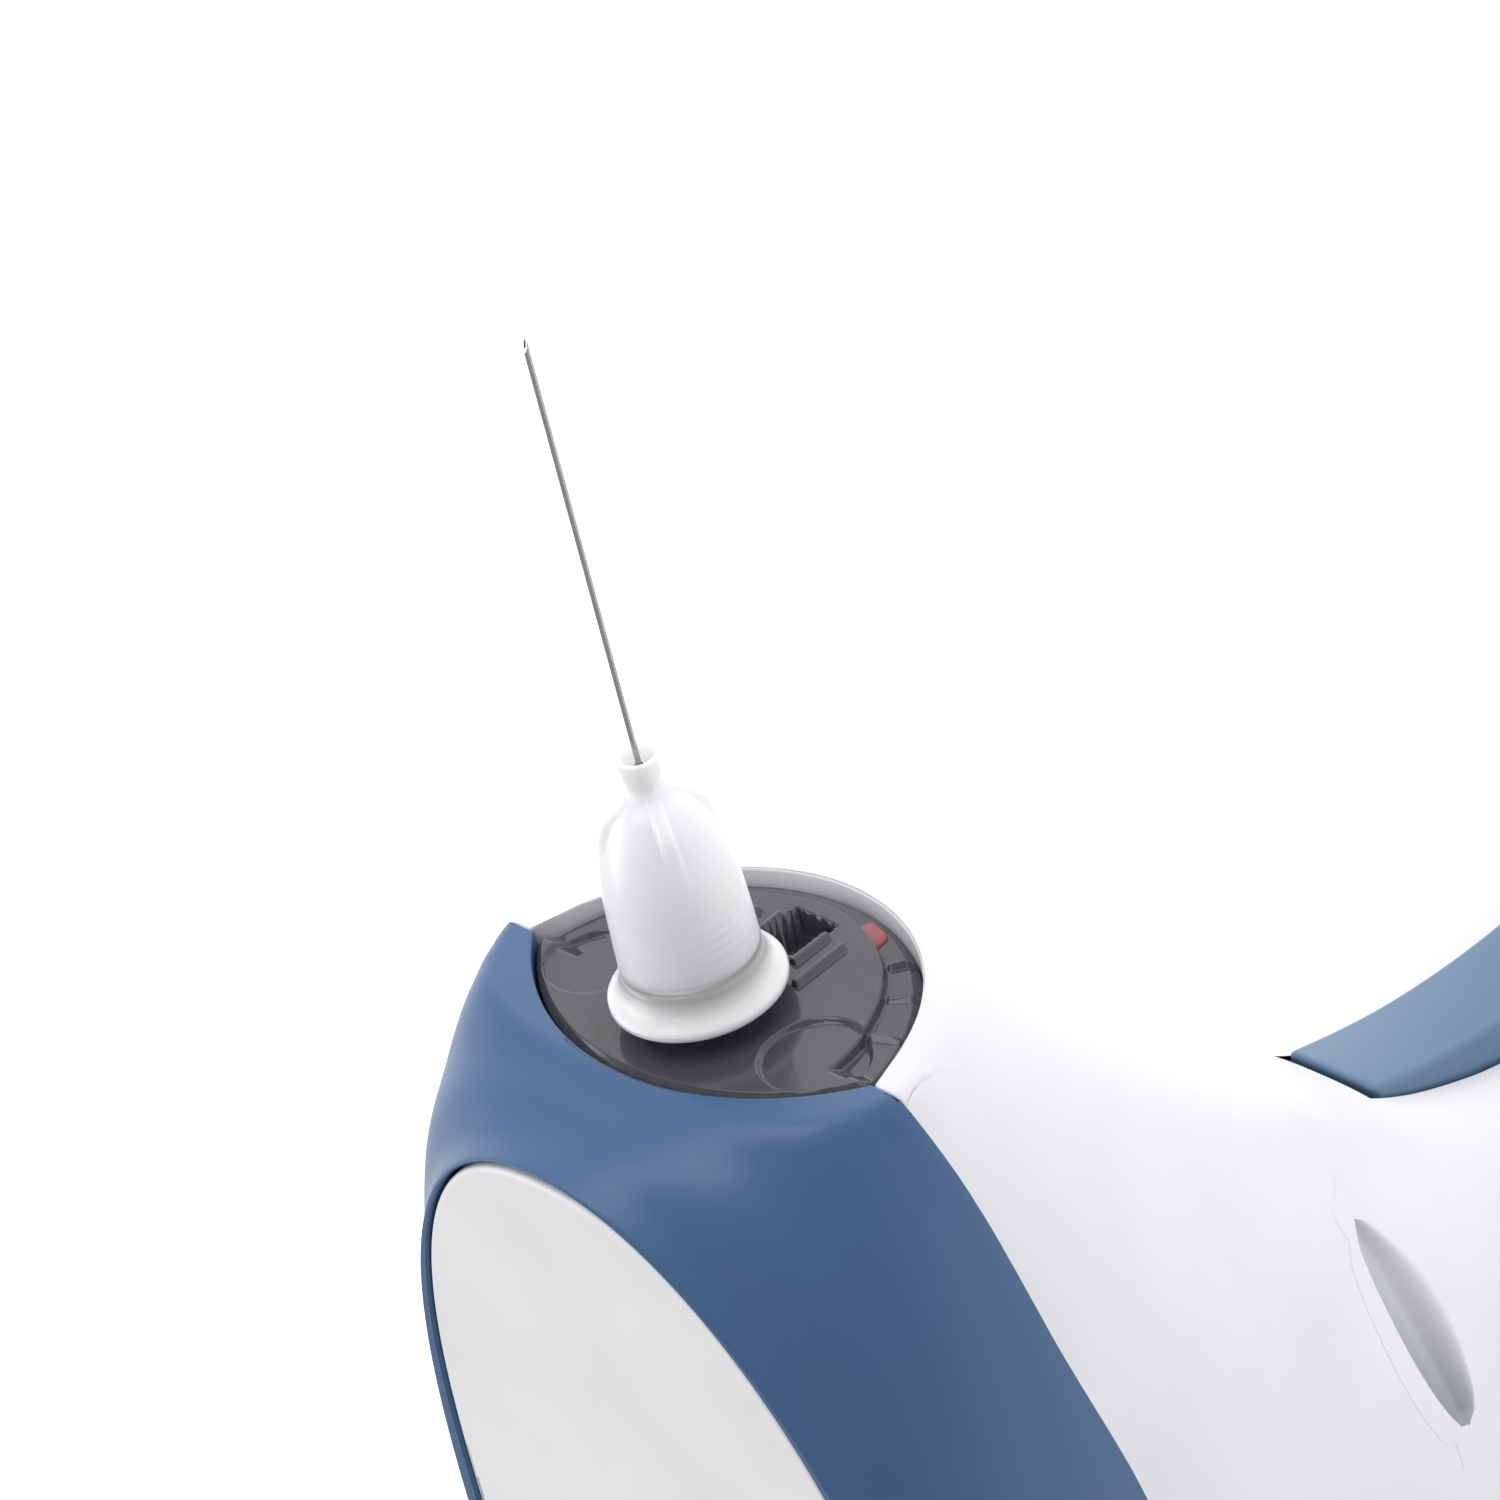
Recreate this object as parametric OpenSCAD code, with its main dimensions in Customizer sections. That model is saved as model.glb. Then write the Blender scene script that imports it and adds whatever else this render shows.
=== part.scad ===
// Cordless cartridge injector for dental anaesthesia, about 158 x 42 x 132 mm.
// Frame: origin at the centre of the flat base, +Z up, +X towards the needle, +Y to the left.

/* [Needle] */
// Length of cannula that stands out of the hub
needle_len = 25; // [16:1:35]
// Outer diameter of the cannula
needle_d = 0.3; // [0.25:0.05:0.4]
// Length of the moulded hub
hub_len = 14; // [14:0.5:16]
// Radius of the hub's base flange
hub_flange_r = 4.5; // [4.2:0.1:5]
// Radius of the round seat that a needle sheath grips
sheath_seat_r = 3.6; // [3.5:0.05:3.8]

/* [Housing] */
// Height of the needle's axis above the base
axis_z = 120; // [120:0.1:120.2]
// Thickness of the shells' walls
wall = 2.2; // [2:0.1:2.4]
// Largest half-width of the head
head_half_w = 20.8; // [20.4:0.1:21.2]
// Largest half-width of the grip
grip_half_w = 17; // [16.8:0.1:17.4]

/* [Cartridge] */
// Outer diameter of the glass
glass_d = 8.66; // [8.6:0.02:8.7]
// Length of the cartridge with its cap
cartridge_len = 62; // [61.5:0.5:62.5]
// Travel of the stopper while injecting
stroke = 40; // [30:1:40]

/* [Drive] */
// Module of the gears
gear_module = 0.4; // [0.4:0.01:0.41]
// Teeth of the nut's gear
nut_teeth = 26; // [26:2:26]
// Teeth of the motor's pinion
pinion_teeth = 20; // [20:2:20]

/* [Trigger] */
// Width of the trigger blade
trigger_w = 6.3; // [6:0.1:6.4]
// Radius of the trigger's pin
trigger_pin_r = 1; // [0.9:0.05:1.1]

/* [Hidden] */

// Fineness of round parts
round_fn = 64;
// Clearances: between pieces that move freely, and in a running fit
gap = 0.3;
run = 0.05;

// --- Outline of the housing: a stack of level rounded slices ---
// Each list runs up from the base as [height, value]
front_x = [[0, 28], [25, 26], [50, 25], [65, 23.9], [77, 25.5], [84.4, 29.5], [92.8, 39], [102, 50.3],
    [112, 62.5], [116, 66.1], [120, 67.8], [122, 64.9], [124, 62.3], [126.5, 59.2], [129, 58], [132.4, 57]];
rear_x = [[0, -25], [30, -23], [60, -22], [80, -24], [92, -34], [102, -46], [112, -55], [120, -58],
    [128, -56], [131, -53], [132.4, -51]];
half_w = [[0, 19], [15, grip_half_w + 0.3], [40, grip_half_w - 0.4], [65, 17.2], [80, 16], [97, 17.9],
    [102, 18.6], [112, 20.6], [120, head_half_w], [126.5, 19.3], [129, 18.6], [131, 17.9], [132.4, 17.1]];
centre_x = [[0, 0], [70, 0], [90, 8], [104, 15], [132.4, 15]];
side_power = [[0, 2.4], [60, 3.6], [76, 3.3], [85, 2.6], [92, 2.1], [100, 2], [116, 2], [120, 2.3],
    [123, 3], [126.5, 3.5], [129, 3], [131, 2.2], [132.4, 2]];
end_power = [[0, 2.4], [60, 2.6], [80, 2], [95, 2.2], [104, 2.6], [132.4, 2.6]];
top_z = 132.4;
nose_x = 59;
head_z0 = 116;
// How far the flat top falls towards the tail, and over what length
top_fall = 4.5;
top_fall_len = 38;
top_crown = 0.5;

slices = [6, 13, 24, 37, 50, 60, 68, 74, 80, 85, 90, 94.5, 98, 102, 105, 107.5, 110, 112.5,
    115, 117, 119, 120.3, 121.5, 122.5, 123.5, 124.5, 125.5, 126.5, 127.5, 129, 130.3, 131.3, 132, top_z];
inner_slices = [6, 20, 40, 60, 72, 80, 86, 92, 97, 102, 107, 112, 116, 120, 123, 126, 128, 129.2];
crown_rings = [0.8, 0.55, 0.3, 0.1];

// Height of the line where the blue upper shell meets the white halves
seam_z = [[-60, 118], [-45, 116], [-15, 115], [15, 115], [34, 116.65], [44, 118.5], [55, 119.7], [59, 120.3]];
seam_steps = 24;

// Oval panel in the top
oval_front_x = 57;
oval_rear_x = -49;
oval_centre_x = 18;
oval_half_w = 16.2;
oval_power = 2.6;
panel_t = 1.5;
roof_t = 3;
bay_half_w = 6.6;

// Hinge of the cartridge hatch
hinge_x = -8;
hinge_z = 126.8;
hinge_barrel_r = 1.9;
hinge_pin_r = 0.8;
hinge_half_w = 8;

// Nose cap
cap_back_x = 56.4;
cap_front_x = 58.9;
cap_upper_r = 15.3;
cap_upper_z = axis_z - 9.5;
cap_lower_r = 11.8;
cap_lower_z = axis_z + 1.6;
skirt_r = 8.2;
skirt_back_x = 50.5;
hub_x = 60;
stub_r = 2.5;
stub_len = 6;
window_side = 2.8;
window_z = axis_z - 6.5;
dimple_y = 7.6;
dimple_r = 2.8;

// Cartridge and drive, along the needle's axis
glass_r = glass_d / 2;
glass_in_r = 3.45;
cartridge_front_x = 54;
cartridge_back_x = cartridge_front_x - cartridge_len;
stopper_len = 6;
stopper_back_x = cartridge_back_x + 0.5;
rod_r = 2.5;
rod_front_x = -9;
rod_back_x = -54;
nut_hub_r = 4.2;
nut_x0 = -17.6;
nut_x1 = -10.4;
gear_x0 = -15.4;
gear_w = 2.8;
bearing_r = 5.4;
gear_axis_gap = gear_module * (nut_teeth + pinion_teeth) / 2;
motor_z = axis_z - gear_axis_gap;
motor_r = 6;

// Grip
base_foot_t = 1.5;
base_cap_top = 6;
battery_x = -6;
battery_r = 9.1;
battery_z0 = 10;
battery_len = 65;
trigger_pin_x = 20.9;
trigger_pin_z = 80.8;
trigger_top = [28.75, 83];
trigger_back_x = 18.6;
slot_half_w = trigger_w / 2 + gap;

// Leaf-shaped recess: its two tips as [x, z], and where the side's surface lies
leaf_front = [31.4, 12.9, 93.6];
leaf_back = [19.4, 16.7, 92.6];
leaf_depth = 1.3;
leaf_half_w = 2.1;

// Screws that join the two grip halves: [x, z, y of the underside of the head]
screws = [[-28, 97, 11], [31, 97, 10], [12, 20, 13], [12, 44, 13]];
boss_r = 3;
screw_r = 1.1;
screw_head_r = 2.1;

charge_xy = [[16, -6], [16, 6]];
charge_r = 1.5;

power_button_x = -40;
speed_button_x = -30;
button_r = 3;
lens_x = [-24, -15];
lens_half_w = 4;

// --- Functions ---
function clamp(v, lo, hi) = min(max(v, lo), hi);

// Index of the span of a list of [x, y] points that holds x
function span(p, x, i = 0) = i >= len(p) - 2 || x < p[i + 1][0] ? i : span(p, x, i + 1);
function slope(p, i) = (p[i + 1][1] - p[i][1]) / (p[i + 1][0] - p[i][0]);
function width(p, i) = p[i + 1][0] - p[i][0];
function tangent(p, i) =
    i == 0 ? slope(p, 0) :
    i == len(p) - 1 ? slope(p, i - 1) :
    (slope(p, i - 1) * width(p, i) + slope(p, i) * width(p, i - 1)) / (width(p, i - 1) + width(p, i));
// Smooth curve through the points: a cubic on each span
function hermite(p, i, h, t) =
    (2 * t * t * t - 3 * t * t + 1) * p[i][1] + (t * t * t - 2 * t * t + t) * h * tangent(p, i)
    + (3 * t * t - 2 * t * t * t) * p[i + 1][1] + (t * t * t - t * t) * h * tangent(p, i + 1);
function curve(p, x) =
    let (xc = clamp(x, p[0][0], p[len(p) - 1][0]), i = span(p, xc))
    hermite(p, i, width(p, i), (xc - p[i][0]) / width(p, i));

function signed_pow(v, e) = sign(v) * pow(abs(v), e);
// Fall of the top at x, fading out down the side
function fall(x) = top_fall * (1 - exp(-max(0, 57 - x) / top_fall_len));
function fall_share(z) = clamp((z - head_z0) / (top_z - head_z0), 0, 1);

// One slice: n points round the housing at height z, drawn in by inset and shrunk by ring
function slice(z, n, inset, nose, lift = 0, ring = 1) = [
    for (k = [0 : n - 1])
        let (
            a = 360 * k / n,
            u = signed_pow(cos(a), 2 / curve(end_power, z)),
            v = signed_pow(sin(a), 2 / curve(side_power, z)),
            c = curve(centre_x, z),
            reach = u > 0 ? curve(front_x, z) - inset - c : c - curve(rear_x, z) - inset,
            x = min(c + reach * u * ring, nose),
            y = (curve(half_w, z) - inset) * v * ring
        )
        [x, y, z + lift + top_crown * (1 - ring * ring) - fall(x) * fall_share(z)]
];

module stack(rings) {
    n = len(rings[0]);
    m = len(rings);
    sides = [
        for (i = [0 : m - 2], k = [0 : n - 1])
            let (a = i * n + k, b = i * n + (k + 1) % n)
            each [[a, a + n, b], [b, a + n, b + n]]
    ];
    base = [[for (k = [0 : n - 1]) k]];
    lid = [[for (k = [0 : n - 1]) m * n - 1 - k]];
    polyhedron([for (r = rings) each r], concat(sides, base, lid), convexity = 6);
}

// Whole outside of the housing, raised by lift, with its crowned top
module housing_solid(lift = 0) {
    stack(concat(
        [for (z = slices) slice(z, 64, 0, nose_x, lift)],
        [for (r = crown_rings) slice(top_z, 64, 0, nose_x, lift, r)]
    ));
}

// Space inside the shells
module housing_hollow() {
    stack(concat(
        [for (z = inner_slices) slice(z, 40, wall, nose_x - 5.6)],
        [for (r = [0.7, 0.3]) slice(top_z - roof_t, 40, wall, nose_x - 5.6, 0, r)]
    ));
}

module along_x(x, z = axis_z, y = 0) {
    translate([x, y, z]) rotate([0, 90, 0]) children();
}

module rod_x(x0, x1, r, z = axis_z, y = 0) {
    along_x(x0, z, y) cylinder(r = r, h = x1 - x0, $fn = round_fn);
}

module tube_x(x0, x1, r_out, r_in, z = axis_z) {
    difference() {
        rod_x(x0, x1, r_out, z);
        rod_x(x0 - 1, x1 + 1, r_in, z);
    }
}

module rod_y(x, z, y0, y1, r) {
    translate([x, y1, z]) rotate([90, 0, 0]) cylinder(r = r, h = y1 - y0, $fn = 32);
}

// Box from one corner to the other
module block(lo, hi) {
    translate(lo) cube(hi - lo);
}

// Ring of revolution round the needle's axis from a profile of [radius, x] points
module revolve_x(profile) {
    along_x(0) rotate_extrude($fn = round_fn) polygon(profile);
}

// Everything above the seam (or below it with side -1)
module seam_block(side) {
    far = side > 0 ? 140 : -10;
    line = [for (i = [0 : seam_steps]) let (x = -62 + 124 * i / seam_steps) [x, curve(seam_z, x)]];
    translate([0, 40, 0]) rotate([90, 0, 0]) linear_extrude(80)
        polygon(concat([[-62, far]], line, [[62, far]]));
}

module oval(inset = 0) {
    n = 72;
    polygon([
        for (k = [0 : n - 1])
            let (
                a = 360 * k / n,
                u = signed_pow(cos(a), 2 / oval_power),
                reach = u > 0 ? oval_front_x - oval_centre_x : oval_centre_x - oval_rear_x
            )
            [oval_centre_x + (reach - inset) * u, (oval_half_w - inset) * sin(a)]
    ]);
}

module oval_prism(inset = 0) {
    translate([0, 0, 100]) linear_extrude(40) oval(inset);
}

// Outline of the nose cap, wider by grow, from x0 to x1
module cap_prism(x0, x1, grow = 0) {
    intersection() {
        rod_x(x0, x1, cap_upper_r + grow, cap_upper_z);
        rod_x(x0, x1, cap_lower_r + grow, cap_lower_z);
    }
}

// --- Needle ---
module needle_cannula() {
    tip_x = hub_x + hub_len + needle_len;
    color("silver") difference() {
        rod_x(hub_x - 9, tip_x, needle_d / 2);
        rod_x(hub_x - 10, tip_x + 1, needle_d / 4);
        translate([tip_x, 0, axis_z - needle_d / 2]) rotate([0, -72, 0]) translate([0, -1, 0]) cube([3, 2, 2]);
    }
}

module needle_hub() {
    body = [
        [hub_flange_r, hub_x], [hub_flange_r, hub_x + 0.7], [hub_flange_r - 0.4, hub_x + 1],
        [sheath_seat_r, hub_x + 1], [sheath_seat_r, hub_x + 2.5], [3.55, hub_x + 2.6], [3.45, hub_x + 6],
        [2.9, hub_x + 8.4], [2.1, hub_x + 10.4], [1.2, hub_x + 11.8], [1, hub_x + 12.4],
        [1.05, hub_x + hub_len], [0.55, hub_x + hub_len], [needle_d / 2, hub_x + hub_len - 0.8],
        [needle_d / 2, hub_x + 8.2], [1.6, hub_x + 7.2], [stub_r + run, hub_x + 6.6], [stub_r + run, hub_x]
    ];
    fin_shape = [[6.5, 2.4], [6.5, 3.4], [8.4, 3.1], [10.6, 2.75], [11.8, 1.6], [12.6, 1], [12.6, 0.6]];
    color("white") union() {
        revolve_x(body);
        for (a = [45 : 90 : 315])
            difference() {
                translate([0, 0, axis_z]) rotate([a, 0, 0]) rotate([90, 0, 0]) translate([hub_x, 0, -0.3])
                    linear_extrude(0.6) polygon(fin_shape);
                rod_x(hub_x, hub_x + 8.2, 2.3);
            }
    }
}

module hub_glue() {
    x = hub_x + hub_len;
    color("dimgray") revolve_x([[needle_d / 2, x - 0.8], [0.5, x - 0.12], [0.42, x + 0.02], [needle_d / 2, x + 0.3]]);
}

// --- Nose ---
module nose_cap() {
    color([0.3, 0.29, 0.33, 0.7]) difference() {
        union() {
            cap_prism(cap_back_x, cap_front_x - 0.4);
            cap_prism(cap_front_x - 0.4, cap_front_x, -0.4);
            rod_x(skirt_back_x, cap_back_x, skirt_r);
            rod_x(cap_front_x, hub_x, 3.2);
            rod_x(hub_x, hub_x + stub_len, stub_r);
        }
        rod_x(skirt_back_x - 1, cap_back_x - 0.6, skirt_r - 0.7);
        rod_x(cap_back_x - 1, hub_x + stub_len + 1, 0.6);
        block([cap_back_x - 1, -window_side / 2, window_z - window_side / 2],
            [cap_front_x + 1, window_side / 2, window_z + window_side / 2]);
        for (s = [-1, 1])
            translate([cap_front_x + 6.4, s * dimple_y, axis_z]) sphere(r = 6.9, $fn = round_fn);
    }
}

module nose_seal() {
    color("black") along_x(52) rotate_extrude($fn = round_fn) translate([6.95, 0]) circle(r = 0.5, $fn = 24);
}

module lock_indicator() {
    color("firebrick") block([55.2, -4.2, axis_z - 10.1], [56.2, -1.9, axis_z - 8.5]);
}

// --- Shells ---
module screw_bosses() {
    for (s = screws)
        rod_y(s[0], s[1], -30, 30, boss_r);
}

module screw_holes() {
    for (s = screws) {
        rod_y(s[0], s[1], -11, s[2] + 5, screw_r + 0.06);
        rod_y(s[0], s[1], s[2], 30, screw_head_r + 0.1);
    }
}

// Pocket and round hole in the nose for the cap, and the recess for the indicator
module nose_pocket() {
    cap_prism(cap_back_x - 0.2, nose_x + 1, gap);
    rod_x(nose_x - 8, nose_x, skirt_r + gap);
    block([55.2, -4.2, axis_z - 10.1], [57, -1.9, axis_z - 8.3]);
}

module trigger_slot() {
    block([8, -slot_half_w, 50], [40, slot_half_w, trigger_top[1] + 0.6]);
}

module roof_openings() {
    difference() {
        oval_prism(-0.15);
        housing_solid(-panel_t - 0.15);
    }
    translate([0, 0, 110]) linear_extrude(30) {
        translate([cartridge_back_x - 1, -bay_half_w]) square([cartridge_len, 2 * bay_half_w]);
        translate([hinge_x - 3, -hinge_half_w - 1]) square([6, 2 * hinge_half_w + 2]);
        translate([lens_x[0], -lens_half_w]) square([lens_x[1] - lens_x[0], 2 * lens_half_w]);
        for (x = [power_button_x, speed_button_x])
            translate([x, 0]) circle(r = button_r + 1.3, $fn = 32);
    }
}

module shell_walls() {
    difference() {
        union() {
            difference() {
                housing_solid();
                housing_hollow();
            }
            intersection() {
                housing_solid();
                screw_bosses();
            }
        }
        nose_pocket();
        trigger_slot();
        screw_holes();
    }
}

module upper_shell() {
    color("steelblue") resize([0, 0, 0]) difference() {
        intersection() {
            shell_walls();
            seam_block(1);
        }
        roof_openings();
        rod_y(hinge_x, hinge_z, -hinge_half_w - 2.8, hinge_half_w + 2.8, hinge_pin_r + 0.04);
    }
}

// Leaf-shaped finger recess in the side
module leaf(side) {
    mid = (leaf_front + leaf_back) / 2;
    reach = leaf_front - leaf_back;
    translate([mid[0], side * mid[1], mid[2]])
        rotate([0, 0, side * atan2(reach[1], reach[0])])
            rotate([0, -atan2(reach[2], norm([reach[0], reach[1]])), 0])
                scale([norm(reach) / 2, leaf_depth, leaf_half_w]) sphere(r = 1, $fn = 32);
}

module grip_half(side) {
    color([0.95, 0.95, 0.96]) resize([0, 0, 0]) difference() {
        intersection() {
            shell_walls();
            seam_block(-1);
            block([-70, side > 0 ? 0 : -40, base_cap_top], [70, side > 0 ? 40 : 0, 140]);
        }
        leaf(side);
    }
}

module left_grip_shell() { grip_half(1); }
module right_grip_shell() { grip_half(-1); }

module shell_screws() {
    color("silver") for (s = screws) {
        rod_y(s[0], s[1], -10.5, s[2], screw_r);
        difference() {
            rod_y(s[0], s[1], s[2], s[2] + 1.6, screw_head_r);
            translate([s[0], s[2] + 2, s[1]]) rotate([90, 0, 0]) cylinder(r = 1.1, h = 1.2, $fn = 6);
        }
    }
}

// --- Top panels ---
// Oval skin of thickness panel_t between two stations along X
module oval_skin(x0, x1) {
    intersection() {
        difference() {
            housing_solid();
            housing_solid(-panel_t);
        }
        oval_prism(0.15);
        block([x0, -30, 100], [x1, 30, 150]);
    }
}

module cartridge_hatch() {
    color("whitesmoke") difference() {
        union() {
            resize([0, 0, 0]) difference() {
                oval_skin(hinge_x, oval_front_x + 1);
                translate([hinge_x, 20, hinge_z]) rotate([90, 0, 0]) cylinder(r = hinge_barrel_r - 0.3, h = 40, $fn = 32);
                translate([oval_front_x + 0.9, 0, top_z - 1.6]) sphere(r = 2.2, $fn = 32);
                for (y = [-20, oval_half_w - 1.3])
                    block([hinge_x - 1, y, 100], [hinge_x + 2.5, y + 3.8 + 1.3, 140]);
            }
            rod_y(hinge_x, hinge_z, -hinge_half_w, hinge_half_w, hinge_barrel_r);
        }
        rod_y(hinge_x, hinge_z, -20, 20, hinge_pin_r + run);
    }
}

module hatch_pin() {
    color("silver") {
        rod_y(hinge_x, hinge_z, -hinge_half_w - 2.5, hinge_half_w + 2.5, hinge_pin_r);
    }
}

module rear_panel() {
    color("whitesmoke") difference() {
        resize([0, 0, 0]) oval_skin(oval_rear_x - 1, hinge_x - hinge_barrel_r - 3 * gap);
        for (x = [power_button_x, speed_button_x])
            translate([x, 0, 100]) cylinder(r = button_r + 0.2, h = 40, $fn = round_fn);
        block([lens_x[0], -lens_half_w, 100], [lens_x[1], lens_half_w, 140]);
    }
}

module display_lens() {
    color([0.12, 0.13, 0.16]) resize([0, 0, 0]) intersection() {
        difference() {
            housing_solid(0.1);
            housing_solid(-panel_t);
        }
        block([lens_x[0] + 0.1, -lens_half_w + 0.1, 100], [lens_x[1] - 0.1, lens_half_w - 0.1, 140]);
    }
}

// Round push button whose cap stands 0.4 mm proud of the panel
module push_button(x) {
    top = top_z + top_crown - fall(x) + 0.4;
    translate([x, 0, 0]) {
        translate([0, 0, top - 2.6]) cylinder(r = button_r, h = 2.2, $fn = round_fn);
        translate([0, 0, top - 0.4]) cylinder(r1 = button_r, r2 = button_r - 0.4, h = 0.4, $fn = round_fn);
        translate([0, 0, top - 3.2]) cylinder(r = button_r + 0.8, h = 0.8, $fn = round_fn);
    }
}

module power_button() { color([0.47, 0.63, 0.8]) push_button(power_button_x); }
module speed_button() { color([0.75, 0.77, 0.8]) push_button(speed_button_x); }

module button_board() {
    color("seagreen") {
        block([-46, -6.5, 123.2], [-22, 6.5, 124]);
        for (x = [power_button_x, speed_button_x])
            block([x - 1.8, -1.8, 124], [x + 1.8, 1.8, 124.6]);
    }
}

// --- Cartridge ---
module cartridge_holder() {
    color("silver") difference() {
        union() {
            rod_x(cartridge_back_x - 0.6, 47, 5.8);
            rod_x(47, 54.4, 7.4);
        }
        rod_x(cartridge_back_x + 0.8, 60, glass_r + 0.15);
        rod_x(cartridge_back_x - 0.2, cartridge_back_x + 1, glass_in_r + 0.1);
        rod_x(cartridge_back_x - 2, cartridge_back_x + 1, rod_r + 0.9);
        along_x(52) rotate_extrude($fn = round_fn) translate([6.95, 0]) circle(r = 0.55, $fn = 24);
        block([cartridge_back_x + 2, -glass_r - 0.15, axis_z], [46, glass_r + 0.15, axis_z + 8]);
        block([cartridge_back_x - 2, -8, hinge_z - hinge_barrel_r - gap], [hinge_x + 3, 8, axis_z + 8]);
    }
}

module cartridge_glass() {
    front = cartridge_front_x;
    color([0.85, 0.93, 0.95, 0.4]) revolve_x([
        [glass_in_r, cartridge_back_x + 0.9], [glass_r, cartridge_back_x + 0.9], [glass_r, front - 7.6],
        [3, front - 5], [3, front - 3], [3.4, front - 2.6], [3.4, front - 1.2], [2, front - 1.2],
        [2, front - 5.4], [glass_in_r, front - 8]
    ]);
}

module cartridge_cap() {
    front = cartridge_front_x;
    color("gainsboro") revolve_x([
        [3.05, front - 3.6], [3.8, front - 3.6], [3.8, front], [1.4, front], [1.4, front - 0.3], [3.45, front - 0.3],
        [3.45, front - 2.75], [3.05, front - 3.15]
    ]);
}

module cartridge_seal() {
    front = cartridge_front_x;
    color("tan") difference() {
        rod_x(front - 1.2, front - 0.3, 3.4);
        rod_x(front - 2, front, needle_d / 2);
    }
}

module stopper() {
    color("darkslategray") difference() {
        rod_x(stopper_back_x + 0.6, stopper_back_x + stopper_len, glass_in_r - 0.03);
        rod_x(stopper_back_x, stopper_back_x + 4, 0.9);
        for (x = [2, 3.6])
            tube_x(stopper_back_x + x, stopper_back_x + x + 0.6, glass_in_r + 1, glass_in_r - 0.4);
    }
}

// --- Drive ---
module harpoon() {
    color("silver") union() {
        rod_x(rod_front_x, stopper_back_x + 3, 0.5);
        for (x = [1.4, 2.6])
            along_x(stopper_back_x + x) cylinder(r1 = 0.88, r2 = 0.5, h = 1, $fn = 32);
    }
}

module push_rod() {
    pitch = 1.5;
    color("silver") union() {
        rod_x(rod_back_x, rod_front_x, rod_r - 0.35);
        for (x = [rod_back_x + 0.4 : pitch : rod_front_x - 1])
            rod_x(x, x + 0.8, rod_r);
    }
}

module rod_guide() {
    color("lightgray") difference() {
        block([-50.5, -5.5, 114.5], [-47.5, 5.5, 124.2]);
        rod_x(-52, -46, rod_r + run);
    }
}

// Spur gear on its own axis, with a tooth centred on +X
module spur_gear(teeth, w, bore) {
    pitch_r = gear_module * teeth / 2;
    tip_r = pitch_r + gear_module * 0.95;
    root_r = pitch_r - gear_module * 1.2;
    step = 360 / teeth;
    color("gold") linear_extrude(w) difference() {
        union() {
            circle(r = root_r, $fn = round_fn);
            for (k = [0 : teeth - 1])
                rotate(k * step) polygon([
                    [root_r - 0.2, -gear_module * 0.95], [pitch_r, -gear_module * 0.7],
                    [tip_r, -gear_module * 0.34], [tip_r, gear_module * 0.34],
                    [pitch_r, gear_module * 0.7], [root_r - 0.2, gear_module * 0.95]
                ]);
        }
        circle(r = bore, $fn = round_fn);
    }
}

module drive_nut_gear() {
    color("gold") difference() {
        union() {
            rod_x(nut_x0, nut_x1, nut_hub_r);
            along_x(gear_x0) spur_gear(nut_teeth, gear_w, 2);
        }
        rod_x(nut_x0 - 1, nut_x1 + 1, rod_r + run);
    }
}

module nut_bearings() {
    color("gray") {
        tube_x(nut_x0 - 0.2, nut_x0 + 1.8, bearing_r, nut_hub_r + run);
        tube_x(nut_x1 - 1.8, nut_x1 + 0.2, bearing_r, nut_hub_r + run);
    }
}

module gear_frame() {
    color("dimgray") difference() {
        union() {
            for (x = [nut_x0 - 0.2, nut_x1 - 1.8])
                block([x, -8, motor_z - 5], [x + 2, 8, axis_z + 5.8]);
            for (s = [-1, 1])
                block([nut_x0, s * 7.2 - 0.8, motor_z - 5], [nut_x1, s * 7.2 + 0.8, motor_z + 2]);
        }
        rod_x(-20, -5, bearing_r);
        rod_x(-20, -5, 1.6, motor_z);
    }
}

module motor_gearbox() {
    color("goldenrod") union() {
        rod_x(-27, nut_x0 - 0.3, motor_r, motor_z);
    }
}

module motor() {
    color("silver") union() {
        difference() {
            rod_x(-46, -27, motor_r, motor_z);
            for (s = [-1, 1])
                block([-47, s * 5.2 - 0.4, motor_z - 7], [-26, s * 5.2 + 5.4 * s + 0.4 * s, motor_z + 7]);
        }
        rod_x(-47, -46, 2, motor_z);
    }
}

module pinion() {
    color("gold") difference() {
        union() {
            along_x(gear_x0, motor_z) rotate(180 / pinion_teeth + 180) spur_gear(pinion_teeth, gear_w, 0.5);
            rod_x(nut_x0 - 0.2, gear_x0 + 0.1, 1.5, motor_z);
            rod_x(gear_x0 + gear_w - 0.1, nut_x1, 1.5, motor_z);
        }
    }
}

module circuit_board() {
    color("seagreen") {
        block([-6, -11, 107], [38, 11, 108.6]);
        block([2, -5, 108.6], [12, 5, 110.2]);
        block([20, -8, 108.6], [27, -1, 109.8]);
        block([22, 3, 108.6], [26, 8, 111]);
        block([32, -4, 104.5], [38, 4, 107]);
    }
}

// --- Trigger ---
// Side outline: top edge, leaning front face with a finger hollow, rounded foot, back
trigger_front_x = [[52, 26.9], [55, 27.8], [59, 27.3], [63, 26.6], [67, 26.35], [73.2, 26.65], [76.4, 27.1],
    [79.6, 27.8], [trigger_top[1], trigger_top[0]]];
trigger_foot_z = 52;
trigger_profile = concat(
    [[trigger_back_x, trigger_foot_z]],
    [for (i = [0 : 20])
        let (z = trigger_foot_z + (trigger_top[1] - trigger_foot_z) * i / 20)
        [curve(trigger_front_x, z), z]],
    [[trigger_back_x, trigger_top[1]]]
);

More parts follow.
